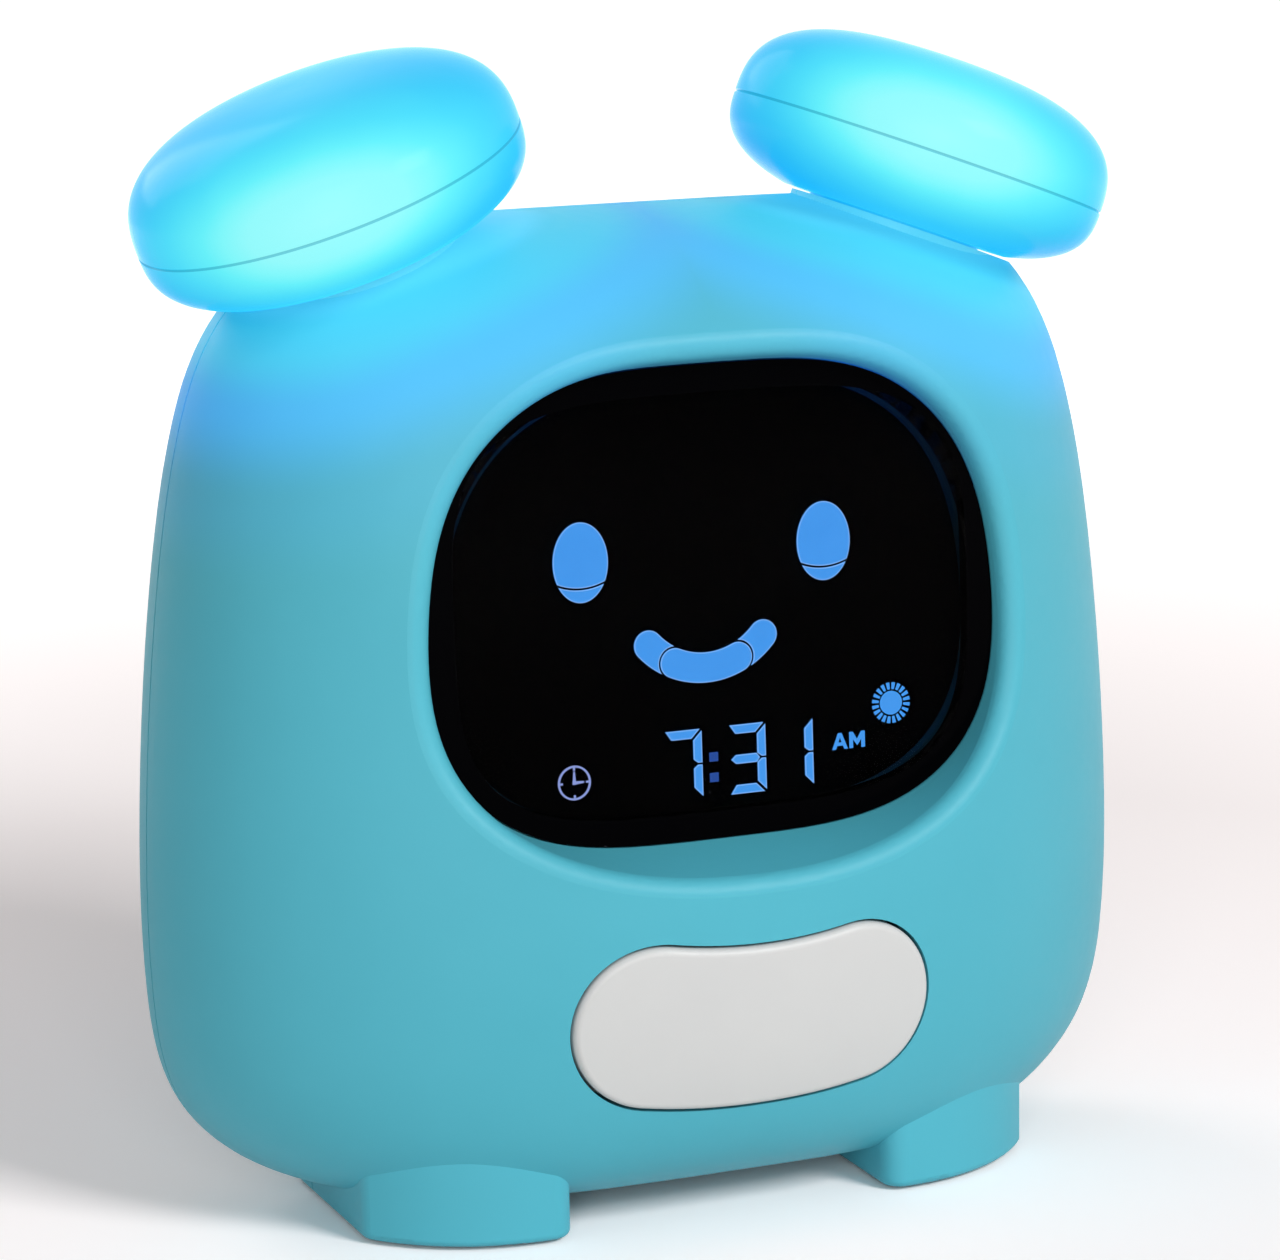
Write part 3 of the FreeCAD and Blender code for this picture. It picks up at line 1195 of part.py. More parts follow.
SLIDE_TOP = BOARD_REAR + SLIDE_BODY_DEEP


def slide_switch():
    """The slide switch's body with the slot that its knob runs in."""
    body = block(SLIDER_X, SLIDER_HEIGHT, SLIDE_BODY_LENGTH, SLIDE_BODY_TALL, BOARD_REAR, SLIDE_TOP)
    slot = block(SLIDER_X, SLIDER_HEIGHT, SLIDER_KNOB + SLIDER_TRAVEL + 2 * SLIDER_CLEARANCE,
                 SLIDER_TONGUE + 2 * SLIDER_CLEARANCE, SLIDE_TOP - SLOT_DEPTH, SLIDE_TOP + 1.0)
    return body.cut(slot)


def alarm_slider():
    """The knob, at the off end: a tongue in the switch and a ridged head through the panel."""
    x = SLIDER_X - SLIDER_TRAVEL / 2
    tip = REAR_FACE + SLIDER_PROUD
    tongue = block(x, SLIDER_HEIGHT, SLIDER_KNOB, SLIDER_TONGUE, SLIDE_TOP - SLOT_DEPTH + SLIDER_LIFT, SLIDE_TOP + 1.0)
    head = block(x, SLIDER_HEIGHT, SLIDER_KNOB, SLIDER_KNOB_TALL, SLIDE_TOP + SLIDER_LIFT, tip)
    ridges = [block(x + shift * SLIDER_RIDGE_PITCH, SLIDER_HEIGHT, SLIDER_RIDGE, SLIDER_KNOB_TALL + 1.0,
                    tip - SLIDER_RIDGE, tip + 1.0) for shift in (-1, 0, 1)]
    return tongue.fuse(head).cut(ridges).removeSplitter()


keep("slide_switch", slide_switch())
keep("alarm_slider", alarm_slider())

# Parts on the main board's front side

CHIP_PLACES = [(-22.0, 80.0, 10.0, 10.0, 1.6), (4.0, 84.0, 5.0, 4.0, 1.5), (-34.0, 74.0, 6.0, 5.0, 1.6)]
CAPACITOR_PLACES = [(22.0, 70.0), (29.0, 70.0)]
PLUG_PLACES = [(-LAMP_PLUG_X, LAMP_PLUG_Z), (LAMP_PLUG_X, LAMP_PLUG_Z), (SNOOZE_PLUG_X, SNOOZE_PLUG_Z)]
DISPLAY_PLUG_FACE = BOARD_FRONT - DISPLAY_PLUG_DEEP

CHIPS = [block(x, z, width, tall, BOARD_FRONT - deep, BOARD_FRONT) for x, z, width, tall, deep in CHIP_PLACES]
CAPACITORS = [rod(x, z, CAPACITOR_RADIUS, BOARD_FRONT - CAPACITOR_HEIGHT, BOARD_FRONT) for x, z in CAPACITOR_PLACES]
PLUGS = [block(x, z, PLUG_WIDTH, PLUG_TALL, BOARD_FRONT - PLUG_DEEP, BOARD_FRONT) for x, z in PLUG_PLACES]
PLUGS.append(block(0.0, DISPLAY_PLUG_Z, DISPLAY_PLUG_WIDTH, DISPLAY_PLUG_TALL, DISPLAY_PLUG_FACE, BOARD_FRONT))
keep("board_chips", group(CHIPS))
keep("capacitors", group(CAPACITORS))
keep("board_plugs", group(PLUGS))

# Wires inside the body

PLUG_MIDDLE_Y = BOARD_FRONT - PLUG_DEEP / 2


def lamp_wires(side):
    """Two wires from a lamp's board, down its neck, to the main board's plug."""
    plug_top = LAMP_PLUG_Z + PLUG_TALL / 2
    wires = []
    for shift in (-WIRE_PAIR, WIRE_PAIR):
        start = lamp_place(Part.Vertex(V(3 * shift, 0, LAMP_FLOOR)), side).Point
        below = lamp_place(Part.Vertex(V(3 * shift, 0, NECK_BOTTOM + 2.0)), side).Point
        end = V(side * LAMP_PLUG_X + shift, PLUG_MIDDLE_Y, plug_top)
        bend = V(end.x, PLUG_MIDDLE_Y, end.z + 6.0)
        wires.append(tube([start, below, bend, end], WIRE_RADIUS))
    return group(wires)


def snooze_wires():
    """Two wires from the snooze board up to the main board's lower plug."""
    wires = []
    for shift in (-WIRE_PAIR, WIRE_PAIR):
        x = SNOOZE_PLUG_X + shift
        points = [V(x, SNOOZE_BOARD_BACK, LOBE_HEIGHT), V(x, SNOOZE_BOARD_BACK + 6.0, LOBE_HEIGHT),
                  V(x, SNOOZE_BOARD_BACK + 13.0, LOBE_HEIGHT + 11.0), V(x, PLUG_MIDDLE_Y - 3.5, LOBE_HEIGHT + 23.0),
                  V(x, PLUG_MIDDLE_Y, SNOOZE_PLUG_Z - PLUG_TALL / 2 - 5.0),
                  V(x, PLUG_MIDDLE_Y, SNOOZE_PLUG_Z - PLUG_TALL / 2)]
        wires.append(tube(points, WIRE_RADIUS))
    return group(wires)


def power_wires():
    """Two wires from the inlet's board up to the main board's lower edge."""
    y_start = (USB_BOARD_BACK + USB_BACK) / 2
    y_end = (BOARD_FRONT + BOARD_REAR) / 2
    wires = []
    for shift in (-WIRE_PAIR, WIRE_PAIR):
        x = USB_X - 3.0 + shift
        points = [V(x, y_start, USB_BOARD_TOP), V(x, y_start, USB_BOARD_TOP + 7.0),
                  V(x, y_end, MAIN_BOARD_BOTTOM - 7.0), V(x, y_end, MAIN_BOARD_BOTTOM)]
        wires.append(tube(points, WIRE_RADIUS))
    return group(wires)


def speaker_wires():
    """Two short leads from the speaker's back to the main board."""
    x = SPEAKER_X - (SPEAKER_RADIUS + MAGNET_RADIUS) / 2
    return group(rod(x, SPEAKER_HEIGHT + shift, WIRE_RADIUS, BOARD_REAR, REAR_INNER - SPEAKER_DEPTH)
                 for shift in (-WIRE_PAIR, WIRE_PAIR))


def flat_cable():
    """Bowed ribbon from the display's board to the main board."""
    start = GLASS_DEPTH + BACKLIGHT_BACK
    middle = (start + DISPLAY_PLUG_FACE) / 2
    low = DISPLAY_PLUG_Z
    high = low + FLAT_CABLE_RISE
    thick = FLAT_CABLE_THICK
    edges = [
        Part.Arc(V(0, start, low), V(0, middle, high), V(0, DISPLAY_PLUG_FACE, low)).toShape(),
        Part.LineSegment(V(0, DISPLAY_PLUG_FACE, low), V(0, DISPLAY_PLUG_FACE, low + thick)).toShape(),
        Part.Arc(V(0, DISPLAY_PLUG_FACE, low + thick), V(0, middle, high + thick), V(0, start, low + thick)).toShape(),
        Part.LineSegment(V(0, start, low + thick), V(0, start, low)).toShape(),
    ]
    ribbon = Part.Face(Part.Wire(edges)).extrude(V(FLAT_CABLE_WIDTH, 0, 0))
    ribbon.translate(V(-FLAT_CABLE_WIDTH / 2, 0, 0))
    return ribbon.cut(on_display(slab(-10.0, DISPLAY_BOARD_BACK)))


keep("left_lamp_wires", lamp_wires(-1))
keep("right_lamp_wires", lamp_wires(1))
keep("board_wires", group([snooze_wires(), power_wires(), speaker_wires()]))
keep("flat_cable", flat_cable())

# Speaker

SPEAKER_FRONT = REAR_INNER
SPEAKER_BACK = REAR_INNER - SPEAKER_DEPTH


def speaker_frame():
    """Steel basket of the speaker, open towards the grille."""
    outer = SPEAKER_RADIUS - BASKET_STEP
    rim = ring_bar(SPEAKER_X, SPEAKER_HEIGHT, SPEAKER_RADIUS, SPEAKER_RADIUS - SPEAKER_RIM,
                   SPEAKER_FRONT - SPEAKER_RIM_THICK, SPEAKER_FRONT)
    basket = ring_bar(SPEAKER_X, SPEAKER_HEIGHT, outer, outer - BASKET_WALL, SPEAKER_BACK,
                      SPEAKER_FRONT - SPEAKER_RIM_THICK / 2)
    back = ring_bar(SPEAKER_X, SPEAKER_HEIGHT, outer, MAGNET_RADIUS - MAGNET_OVERLAP, SPEAKER_BACK,
                    SPEAKER_BACK + BASKET_WALL)
    return rim.fuse([basket, back]).removeSplitter()


def speaker_cone():
    """Thin cone with a dust cap."""
    edge = SPEAKER_RADIUS - max(BASKET_STEP + BASKET_WALL, SPEAKER_RIM) - CONE_CLEARANCE
    front = SPEAKER_FRONT - CONE_RECESS
    points = [V(0, front - CONE_DEPTH + CAP_RISE, 0), V(CAP_RADIUS, front - CONE_DEPTH, 0),
              V(edge - ROLL_WIDTH, front, 0), V(edge, front - ROLL_DROP, 0)]
    back = [V(p.x, p.y - CONE_THICK, 0) for p in reversed(points)]
    face = Part.Face(Part.makePolygon(points + back + points[:1]))
    cone = face.revolve(V(0, 0, 0), V(0, 1, 0), 360)
    cone.translate(V(SPEAKER_X, 0, SPEAKER_HEIGHT))
    return cone


keep("speaker_frame", speaker_frame())
keep("speaker_cone", speaker_cone())
keep("speaker_magnet", rod(SPEAKER_X, SPEAKER_HEIGHT, MAGNET_RADIUS, SPEAKER_BACK - MAGNET_DEPTH, SPEAKER_BACK))

# Battery door, cells and contacts


def battery_door():
    """Door plate with grip grooves and a recessed screw seat."""
    plate = door_outline(0.0, DOOR_BACK, REAR_FACE)
    low = BATTERY_MIDDLE - POCKET_TALL / 2 + 2 * GRIP_PITCH
    grip = [block(0, low + step * GRIP_PITCH, GRIP_LENGTH, GRIP_GROOVE, REAR_FACE - GRIP_DEPTH, REAR_FACE + 1.0)
            for step in range(GRIP_COUNT)]
    seat = rod(0, DOOR_EAR_Z, BOARD_SCREW_HEAD + SCREW_HEAD_CLEARANCE, REAR_FACE - BOARD_SCREW_HEAD_HEIGHT,
               REAR_FACE + 1.0)
    hole = rod(0, DOOR_EAR_Z, SMALL_PASS_RADIUS, DOOR_BACK - 1.0, REAR_FACE + 1.0)
    return plate.cut(grip + [seat, hole])


CELL_SHIFT = CONTACT_SPACE - CONTACT_PLATE
CELL_WAYS = [1, -1, 1]


def battery_cell(z, way):
    """A cell along X with its nub towards one end, touching that end's plate."""
    start = -way * CELL_LENGTH / 2 + way * CELL_SHIFT
    can = Part.makeCylinder(CELL_RADIUS, CELL_LENGTH - CELL_NUB_LENGTH, V(start, CELL_Y, z), V(way, 0, 0))
    nub_start = start + way * (CELL_LENGTH - CELL_NUB_LENGTH)
    nub = Part.makeCylinder(CELL_NUB_RADIUS, CELL_NUB_LENGTH, V(nub_start, CELL_Y, z), V(way, 0, 0))
    return can.fuse(nub)


def contact_plates():
    """Six flat plates on the pocket's end walls."""
    plates = []
    for side in (-1, 1):
        for z in CELL_ROWS:
            x = side * (POCKET_LENGTH / 2 - CONTACT_PLATE / 2)
            reach = CELL_RADIUS - CONTACT_MARGIN
            plates.append(block(x, z, CONTACT_PLATE, 2 * reach, CELL_Y - reach, CELL_Y + reach))
    return group(plates)


def contact_springs():
    """A spring behind the flat end of each cell."""
    length = 2 * CELL_SHIFT
    wire = BATTERY_SPRING_WIRE
    springs = []
    for z, way in zip(CELL_ROWS, CELL_WAYS):
        start = V(0, wire / 2 + COIL_CLEARANCE, 0)
        spring = coil(start, BATTERY_SPRING_RADIUS, wire, BATTERY_SPRING_TURNS, length - wire - 2 * COIL_CLEARANCE)
        spring.rotate(V(0, 0, 0), V(0, 0, 1), -90 * way)
        spring.translate(V(-way * (POCKET_LENGTH / 2 - CONTACT_PLATE), CELL_Y, z))
        springs.append(spring)
    return group(springs)


keep("battery_door", battery_door())
keep("battery_door_screw", screw(0, DOOR_EAR_Z, REAR_FACE - BOARD_SCREW_HEAD_HEIGHT, -1, BOARD_SCREW_RADIUS,
                                 BOARD_SCREW_LENGTH, BOARD_SCREW_HEAD, BOARD_SCREW_HEAD_HEIGHT))
keep("battery_cells", group([battery_cell(z, way) for z, way in zip(CELL_ROWS, CELL_WAYS)]))
keep("contact_plates", contact_plates())
keep("contact_springs", contact_springs())

# Power inlet


def usb_socket():
    """Metal shell of the power inlet, closed at its back."""
    shell = usb_form(0.0, USB_BACK, USB_MOUTH)
    return shell.cut(usb_form(-USB_SHELL, USB_BACK + 0.8, USB_MOUTH + 1.0))


def usb_board():
    """Small board under the inlet, on two ribs of the rear cover."""
    low = USB_BOARD_TOP - USB_BOARD_THICK
    y_end = USB_MOUTH - USB_DEPTH * 0.3
    return Part.makeBox(USB_BOARD_WIDTH, y_end - USB_BOARD_BACK, USB_BOARD_THICK,
                        V(USB_X - USB_BOARD_WIDTH / 2, USB_BOARD_BACK, low))


keep("usb_socket", usb_socket())
keep("usb_tongue", block(USB_X, USB_HEIGHT, USB_TONGUE_WIDTH, USB_TONGUE_THICK, USB_BACK + 0.8, USB_MOUTH - 0.9))
keep("usb_board", usb_board())

# Fasteners of the housing

keep("housing_screws", group([screw(x, z, HOUSING_SEAT, -1, SCREW_RADIUS, SCREW_LENGTH, SCREW_HEAD_RADIUS,
                                    SCREW_HEAD_HEIGHT) for x, z in HOUSING_SCREWS]))

# Writing the parts, centred in X and Y over the origin

OUTER_BOX = group(PARTS.values()).optimalBoundingBox(True, False)
TO_CENTRE = V(0, -OUTER_BOX.Center.y, 0)
for name, shape in PARTS.items():
    shape.translate(TO_CENTRE)
    shape.exportStep("parts/" + name + ".step")
    print(name, len(shape.Solids), round(shape.Volume, 1), shape.isValid())
print("moved by", TO_CENTRE, "box", OUTER_BOX)
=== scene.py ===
# %% [markdown]
# # A kids alarm clock with night light
# The clock is a rounded plastic body with a smoked display window, a snooze button
# and two glowing lamps on its shoulders. The construction comes in as a fixed frame,
# in metres, with each piece where it belongs. This lesson gives every surface its
# finish, adds the rims of light and the printed signs, and sets up a plain studio.

# %% Load the fixed frame
import bmesh
import bpy
from math import cos, pi, radians, sin, tau
from mathutils import Matrix, Vector


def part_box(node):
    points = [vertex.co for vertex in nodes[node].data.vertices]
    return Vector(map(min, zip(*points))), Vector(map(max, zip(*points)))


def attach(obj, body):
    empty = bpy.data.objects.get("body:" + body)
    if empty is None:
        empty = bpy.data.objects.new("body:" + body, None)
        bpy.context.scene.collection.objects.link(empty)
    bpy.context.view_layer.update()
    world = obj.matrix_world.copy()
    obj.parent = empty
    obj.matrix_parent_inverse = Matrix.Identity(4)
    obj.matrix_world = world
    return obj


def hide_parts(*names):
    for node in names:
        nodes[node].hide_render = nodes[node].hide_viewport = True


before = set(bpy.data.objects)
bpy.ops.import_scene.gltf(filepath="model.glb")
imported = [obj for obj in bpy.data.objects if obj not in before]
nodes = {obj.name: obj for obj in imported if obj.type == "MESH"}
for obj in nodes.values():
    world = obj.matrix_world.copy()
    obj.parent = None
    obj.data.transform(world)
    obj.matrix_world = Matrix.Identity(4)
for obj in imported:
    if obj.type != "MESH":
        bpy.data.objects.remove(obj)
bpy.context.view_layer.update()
MM = 0.001
print("nodes in the frame:", len(nodes))

# %% [markdown]
# ## The camera
# The photograph looks at the clock's face from the left and from slightly above, with
# a long lens. A camera can be placed by eye, or worked out from known points.
# Here its direction, distance and lens were worked out, so the picture lines up.

# %% Camera
VIEW_TURN = radians(22.433)
VIEW_DROP = radians(11.341)
VIEW_ROLL = radians(-0.963)
VIEW_DISTANCE = 531.85 * MM
VIEW_TARGET = Vector((0.967, 8.456, 64.476)) * MM
LENS = 125.53
SENSOR = 36.0


def make_camera():
    """A camera that stands back from the target along its line of sight."""
    flat = cos(VIEW_DROP)
    ahead = Vector((sin(VIEW_TURN) * flat, cos(VIEW_TURN) * flat, -sin(VIEW_DROP)))
    level = Vector((cos(VIEW_TURN), -sin(VIEW_TURN), 0))
    rise = level.cross(ahead)
    right = cos(VIEW_ROLL) * level + sin(VIEW_ROLL) * rise
    top = cos(VIEW_ROLL) * rise - sin(VIEW_ROLL) * level
    lens = bpy.data.cameras.new("camera")
    lens.lens = LENS
    lens.sensor_width = SENSOR
    lens.clip_start = 0.01
    camera = bpy.data.objects.new("camera", lens)
    camera.matrix_world = Matrix((right, top, -ahead)).transposed().to_4x4()
    camera.matrix_world.translation = VIEW_TARGET - ahead * VIEW_DISTANCE
    bpy.context.scene.collection.objects.link(camera)
    bpy.context.scene.camera = camera
    return camera


camera = make_camera()
print("camera stands at", [round(v, 3) for v in camera.matrix_world.translation])

# %% [markdown]
# ## Sums made of sockets
# A finish is a sum of patterns. Adding each Math node by hand hides the sum, so a
# small class wraps an output socket and lets Python's own signs add the nodes.
# Every other kind of node comes from one method, which takes its kind, its settings
# and what goes into its sockets.

# %% Flow and Recipe
class Flow:
    """An output socket that takes part in sums like a number."""

    def __init__(self, recipe, socket):
        self.recipe = recipe
        self.socket = socket

    def math(self, operation, *values):
        return self.recipe.node("ShaderNodeMath", values, operation=operation)

    def __add__(self, other):
        return self.math("ADD", self, other)

    __radd__ = __add__

    def __sub__(self, other):
        return self.math("SUBTRACT", self, other)

    def __rsub__(self, other):
        return self.math("SUBTRACT", other, self)

    def __mul__(self, other):
        return self.math("MULTIPLY", self, other)

    __rmul__ = __mul__

    def __truediv__(self, other):
        return self.math("DIVIDE", self, other)

    def __pow__(self, other):
        return self.math("POWER", self, other)

    def __abs__(self):
        return self.math("ABSOLUTE", self)

    def __gt__(self, other):
        return self.math("GREATER_THAN", self, other)

    def __lt__(self, other):
        return self.math("LESS_THAN", self, other)

    def most(self, other):
        return self.math("MAXIMUM", self, other)

    def least(self, other):
        return self.math("MINIMUM", self, other)


class Recipe:
    """A node tree being written, one node at a time."""

    def __init__(self, tree):
        self.tree = tree
        tree.nodes.clear()

    def node(self, kind, inputs=(), output=0, stops=None, **settings):
        made = self.tree.nodes.new(kind)
        for name, value in settings.items():
            setattr(made, name, value)
        if stops:
            points = made.color_ramp.elements
            while len(points) < len(stops):
                points.new(0.5)
            for point, (place, colour) in zip(points, stops):
                point.position = place
                point.color = colour
        pairs = inputs.items() if isinstance(inputs, dict) else enumerate(inputs)
        for key, value in pairs:
            if isinstance(value, Flow):
                self.tree.links.new(value.socket, made.inputs[key])
            else:
                made.inputs[key].default_value = value
        return Flow(self, made.outputs[output] if made.outputs else None)

    def place(self):
        """Where a point is on the clock, in metres."""
        return self.node("ShaderNodeTexCoord", output="Object")

    def axes(self, vector):
        """The three numbers of a vector."""
        split = self.node("ShaderNodeSeparateXYZ", (vector,)).socket.node
        return [Flow(self, split.outputs[index]) for index in range(3)]

    def mix(self, share, first, second):
        """A colour on the way from the first to the second."""
        inputs = {0: share, 6: first, 7: second}
        return self.node("ShaderNodeMix", inputs, output=2, data_type="RGBA")

    def ramp(self, share, stops, way="LINEAR"):
        """Colours along a line from 0 to 1."""
        made = self.node("ShaderNodeValToRGB", (share,), stops=stops)
        made.socket.node.color_ramp.interpolation = way
        return made

    def noise(self, size, detail=2.0, rough=0.5, place=None):
        """Cloudy values from 0 to 1 whose patches are about size across."""
        inputs = {"Vector": place or self.place(), "Scale": 1 / size, "Detail": detail, "Roughness": rough}
        return self.node("ShaderNodeTexNoise", inputs)

    def bump(self, height, depth):
        """A relief of the given depth."""
        return self.node("ShaderNodeBump", {"Height": height, "Distance": depth, "Strength": 1.0})

    def shade(self, **looks):
        """The surface shader: each look is a socket's name with _ for a space."""
        inputs = {name.replace("_", " "): value for name, value in looks.items()}
        return self.node("ShaderNodeBsdfPrincipled", inputs)

    def finish(self, shader):
        self.node("ShaderNodeOutputMaterial", (shader,))


def new_finish(name):
    """An empty material and its recipe."""
    material = bpy.data.materials.new(name)
    material.use_nodes = True
    return material, Recipe(material.node_tree)


def paint(red, green, blue):
    """A colour as a paint chart gives it, from 0 to 255, made linear."""
    shares = [value / 255 for value in (red, green, blue)]
    return tuple(s / 12.92 if s < 0.04045 else ((s + 0.055) / 1.055) ** 2.4 for s in shares) + (1.0,)


print("teal as light:", [round(v, 3) for v in paint(80, 176, 200)])

# %% [markdown]
# ## The studio
# Product pictures are taken on a white sweep with large soft lamps. A bright floor
# would need so much light that the clock itself would wash out. So the lamps stay at
# a plain level, and what the camera sees of the floor and the room is lifted to white
# by the Light Path node. The floor still darkens where a shadow falls. Its seen colour
# is a little warm, because teal light from the clock falls into that shadow.

# %% World, floor and soft lamps
ROOM_LIGHT = 0.24
ROOM_WHITE = 1.0
FLOOR_HALF = 4.0
FLOOR_PAINT = (226, 225, 223)
FLOOR_SEEN = (1.28, 1.19, 1.18, 1.0)
FAR_LIFT = 0.75
LIFT_START = 0.2
LIFT_END = 0.7
CLOCK_MIDDLE = Vector((0, 0, 0.06))
SOFT_LAMPS = {
    "key_soft_lamp": ((0.46, -0.92, 0.70), 0.40, 9.6),
    "fill_soft_lamp": ((-0.46, -1.1, 0.36), 0.6, 5.6),
    "side_soft_lamp": ((-0.95, -0.2, 0.25), 0.6, 0.4),
    "back_soft_lamp": ((-0.35, 0.95, 0.6), 0.6, 2.6),
}


def seen(recipe):
    """1 for what the camera sees by itself, mirrored or through glass."""
    path = recipe.node("ShaderNodeLightPath").socket.node
    names = ("Is Camera Ray", "Is Glossy Ray", "Is Transmission Ray")
    direct, mirrored, through = [Flow(recipe, path.outputs[name]) for name in names]
    return direct.most(mirrored).most(through)


def make_room():
    """A plain white room that lights the clock softly."""
    world = bpy.data.worlds.new("room")
    world.use_nodes = True
    bpy.context.scene.world = world
    recipe = Recipe(world.node_tree)
    strength = seen(recipe) * (ROOM_WHITE - ROOM_LIGHT) + ROOM_LIGHT
    light = recipe.node("ShaderNodeBackground", {"Color": (1, 1, 1, 1), "Strength": strength})
    recipe.node("ShaderNodeOutputWorld", (light,))


def make_floor():
    """A pale floor that keeps the clock's shadow."""
    mesh = bpy.data.meshes.new("floor")
    corners = [(x * FLOOR_HALF, y * FLOOR_HALF, 0) for x, y in ((-1, -1), (1, -1), (1, 1), (-1, 1))]
    mesh.from_pydata(corners, [], [range(4)])
    floor = bpy.data.objects.new("floor", mesh)
    bpy.context.scene.collection.objects.link(floor)
    material, recipe = new_finish("pale_floor")
    x, y, _ = recipe.axes(recipe.place())
    away = ((x * x + y * y) ** 0.5 - LIFT_START) / (LIFT_END - LIFT_START)
    lift = away.most(0).least(1) * FAR_LIFT
    colour = recipe.mix(seen(recipe), paint(*FLOOR_PAINT), FLOOR_SEEN)
    matt = recipe.node("ShaderNodeBsdfDiffuse", {"Color": colour})
    shine = recipe.node("ShaderNodeEmission", {"Color": (1, 1, 1, 1), "Strength": seen(recipe) * lift})
    recipe.finish(recipe.node("ShaderNodeAddShader", (matt, shine)))
    mesh.materials.append(material)


def make_soft_lamp(name, place, size, power):
    """A square soft box that faces the clock."""
    light = bpy.data.lights.new(name, "AREA")
    light.size = size
    light.energy = power
    lamp = bpy.data.objects.new(name, light)
    lamp.location = place
    lamp.rotation_euler = (CLOCK_MIDDLE - Vector(place)).to_track_quat("-Z", "Y").to_euler()
    bpy.context.scene.collection.objects.link(lamp)


bpy.context.scene.view_settings.view_transform = "Standard"
make_room()
make_floor()
for name, (place, size, power) in SOFT_LAMPS.items():
    make_soft_lamp(name, place, size, power)
print("soft lamps:", len(SOFT_LAMPS))

# %% [markdown]
# ## Where the lamp light goes
# The two round lamps are the lightest things on the clock. Their light shines through
# the diffusers and soaks into the plastic round their collars. Real light inside a
# wall is slow to render, so both finishes read how far a point is from a lamp's heart,
# which holds from every side and can be baked. On the shell, that lamp light is then
# painted into the plastic as a glow.

# %% Places of the two lamps
def middle_of(node):
    """The middle of a node's box."""
    low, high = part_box(node)
    return (low + high) / 2


LAMP_TILT = radians(20.25)
LAMP_LEAN = radians(2.3)
HEART_ABOVE_BOARD = 6.45 * MM
board_middle = middle_of("right_lamp_board")
lamp_axis = Vector((sin(LAMP_TILT), -sin(LAMP_LEAN), cos(LAMP_TILT))).normalized()
LAMP_HEART = board_middle + lamp_axis * HEART_ABOVE_BOARD
BETWEEN_SHARE = 0.70


def lamp_place(recipe, side):
    """A point in a lamp's own directions from its heart: across, back and up its axis."""
    heart = (side * LAMP_HEART.x, LAMP_HEART.y, LAMP_HEART.z)
    turn = (LAMP_LEAN, side * LAMP_TILT, 0)
    inputs = {"Vector": recipe.place(), "Location": heart, "Rotation": turn}
    return recipe.node("ShaderNodeMapping", inputs, vector_type="TEXTURE")


def lamp_reach(recipe):
    """How far a point is from the nearer lamp, in metres, less between the two."""
    x, y, z = recipe.axes(recipe.place())
    side = abs(x) - LAMP_HEART.x
    side = side.most(side * -BETWEEN_SHARE)
    back = y - LAMP_HEART.y
    rise = z - LAMP_HEART.z
    return (side * side + back * back + rise * rise) ** 0.5


print("lamp heart in mm:", [round(v / MM, 1) for v in LAMP_HEART])

# %% [markdown]
# ## Teal plastic of the shells
# Both shells and the battery door are moulded in one soft teal plastic. The mould is
# spark eroded, which leaves a satin skin of grains a third of a millimetre wide, and
# the colour drifts a little where the plastic cooled at its own pace. Near the lamps
# their light on the wall is painted in as a glow: cyan by the collars, then blue, then
# plain.

# %% Shell finish
SHELL_TEAL = (78, 172, 190)
SHELL_DEEP = (71, 165, 183)
SHELL_DRIFT = 22 * MM
SHELL_GLOSS = 0.44
GLOSS_DRIFT = 0.10
# The shell's painted lamp glow: its emission colour by distance from the lamps, fading to none.
PAINTED_GLOW_END = 48 * MM
PAINTED_GLOW_STOPS = [
    (0.34, paint(52, 146, 172)),
    (0.40, paint(8, 126, 152)),
    (0.46, paint(4, 122, 156)),
    (0.60, paint(10, 78, 164)),
    (0.80, paint(4, 20, 66)),
    (1.00, (0, 0, 0, 1)),
]


def mould_grain(recipe, size=0.35 * MM, depth=0.004 * MM):
    """The fine skin that a spark eroded mould leaves."""
    return recipe.bump(recipe.noise(size, detail=3.0, rough=0.7), depth)


def shell_finish_with_painted_glow():
    """Soft teal plastic with the lamps' light painted on as a glow near them."""
    material, recipe = new_finish("teal_shell_plastic_and_painted_lamp_glow")
    drift = recipe.noise(SHELL_DRIFT, detail=3.0)
    colour = recipe.mix(drift, paint(*SHELL_DEEP), paint(*SHELL_TEAL))
    gloss = SHELL_GLOSS + GLOSS_DRIFT * recipe.noise(1.5 * MM, detail=4.0)
    # Painted lamp light: emission read from the distance to the lamps, standing in for their light in the
    # plastic.
    glow = recipe.ramp(lamp_reach(recipe) / PAINTED_GLOW_END, PAINTED_GLOW_STOPS, "EASE")
    recipe.finish(recipe.shade(
        Base_Color=colour, Roughness=gloss, Emission_Color=glow, Emission_Strength=1.0,
        Specular_IOR_Level=0.3, Normal=mould_grain(recipe)))
    return material


teal_plastic_and_painted_glow = shell_finish_with_painted_glow()
print("glow ends at mm:", round(PAINTED_GLOW_END / MM))

# %% [markdown]
# ## Glowing diffusers
# Each lamp is two milky caps that meet at a seam. Six small diodes sit at its foot, so
# the caps are brightest round their middle and turn from pale cyan to clear blue at
# the ends. The milk in the plastic makes that fade uneven, and the seam lets out less
# light, so it reads as a fine dark line. The outside is polished.

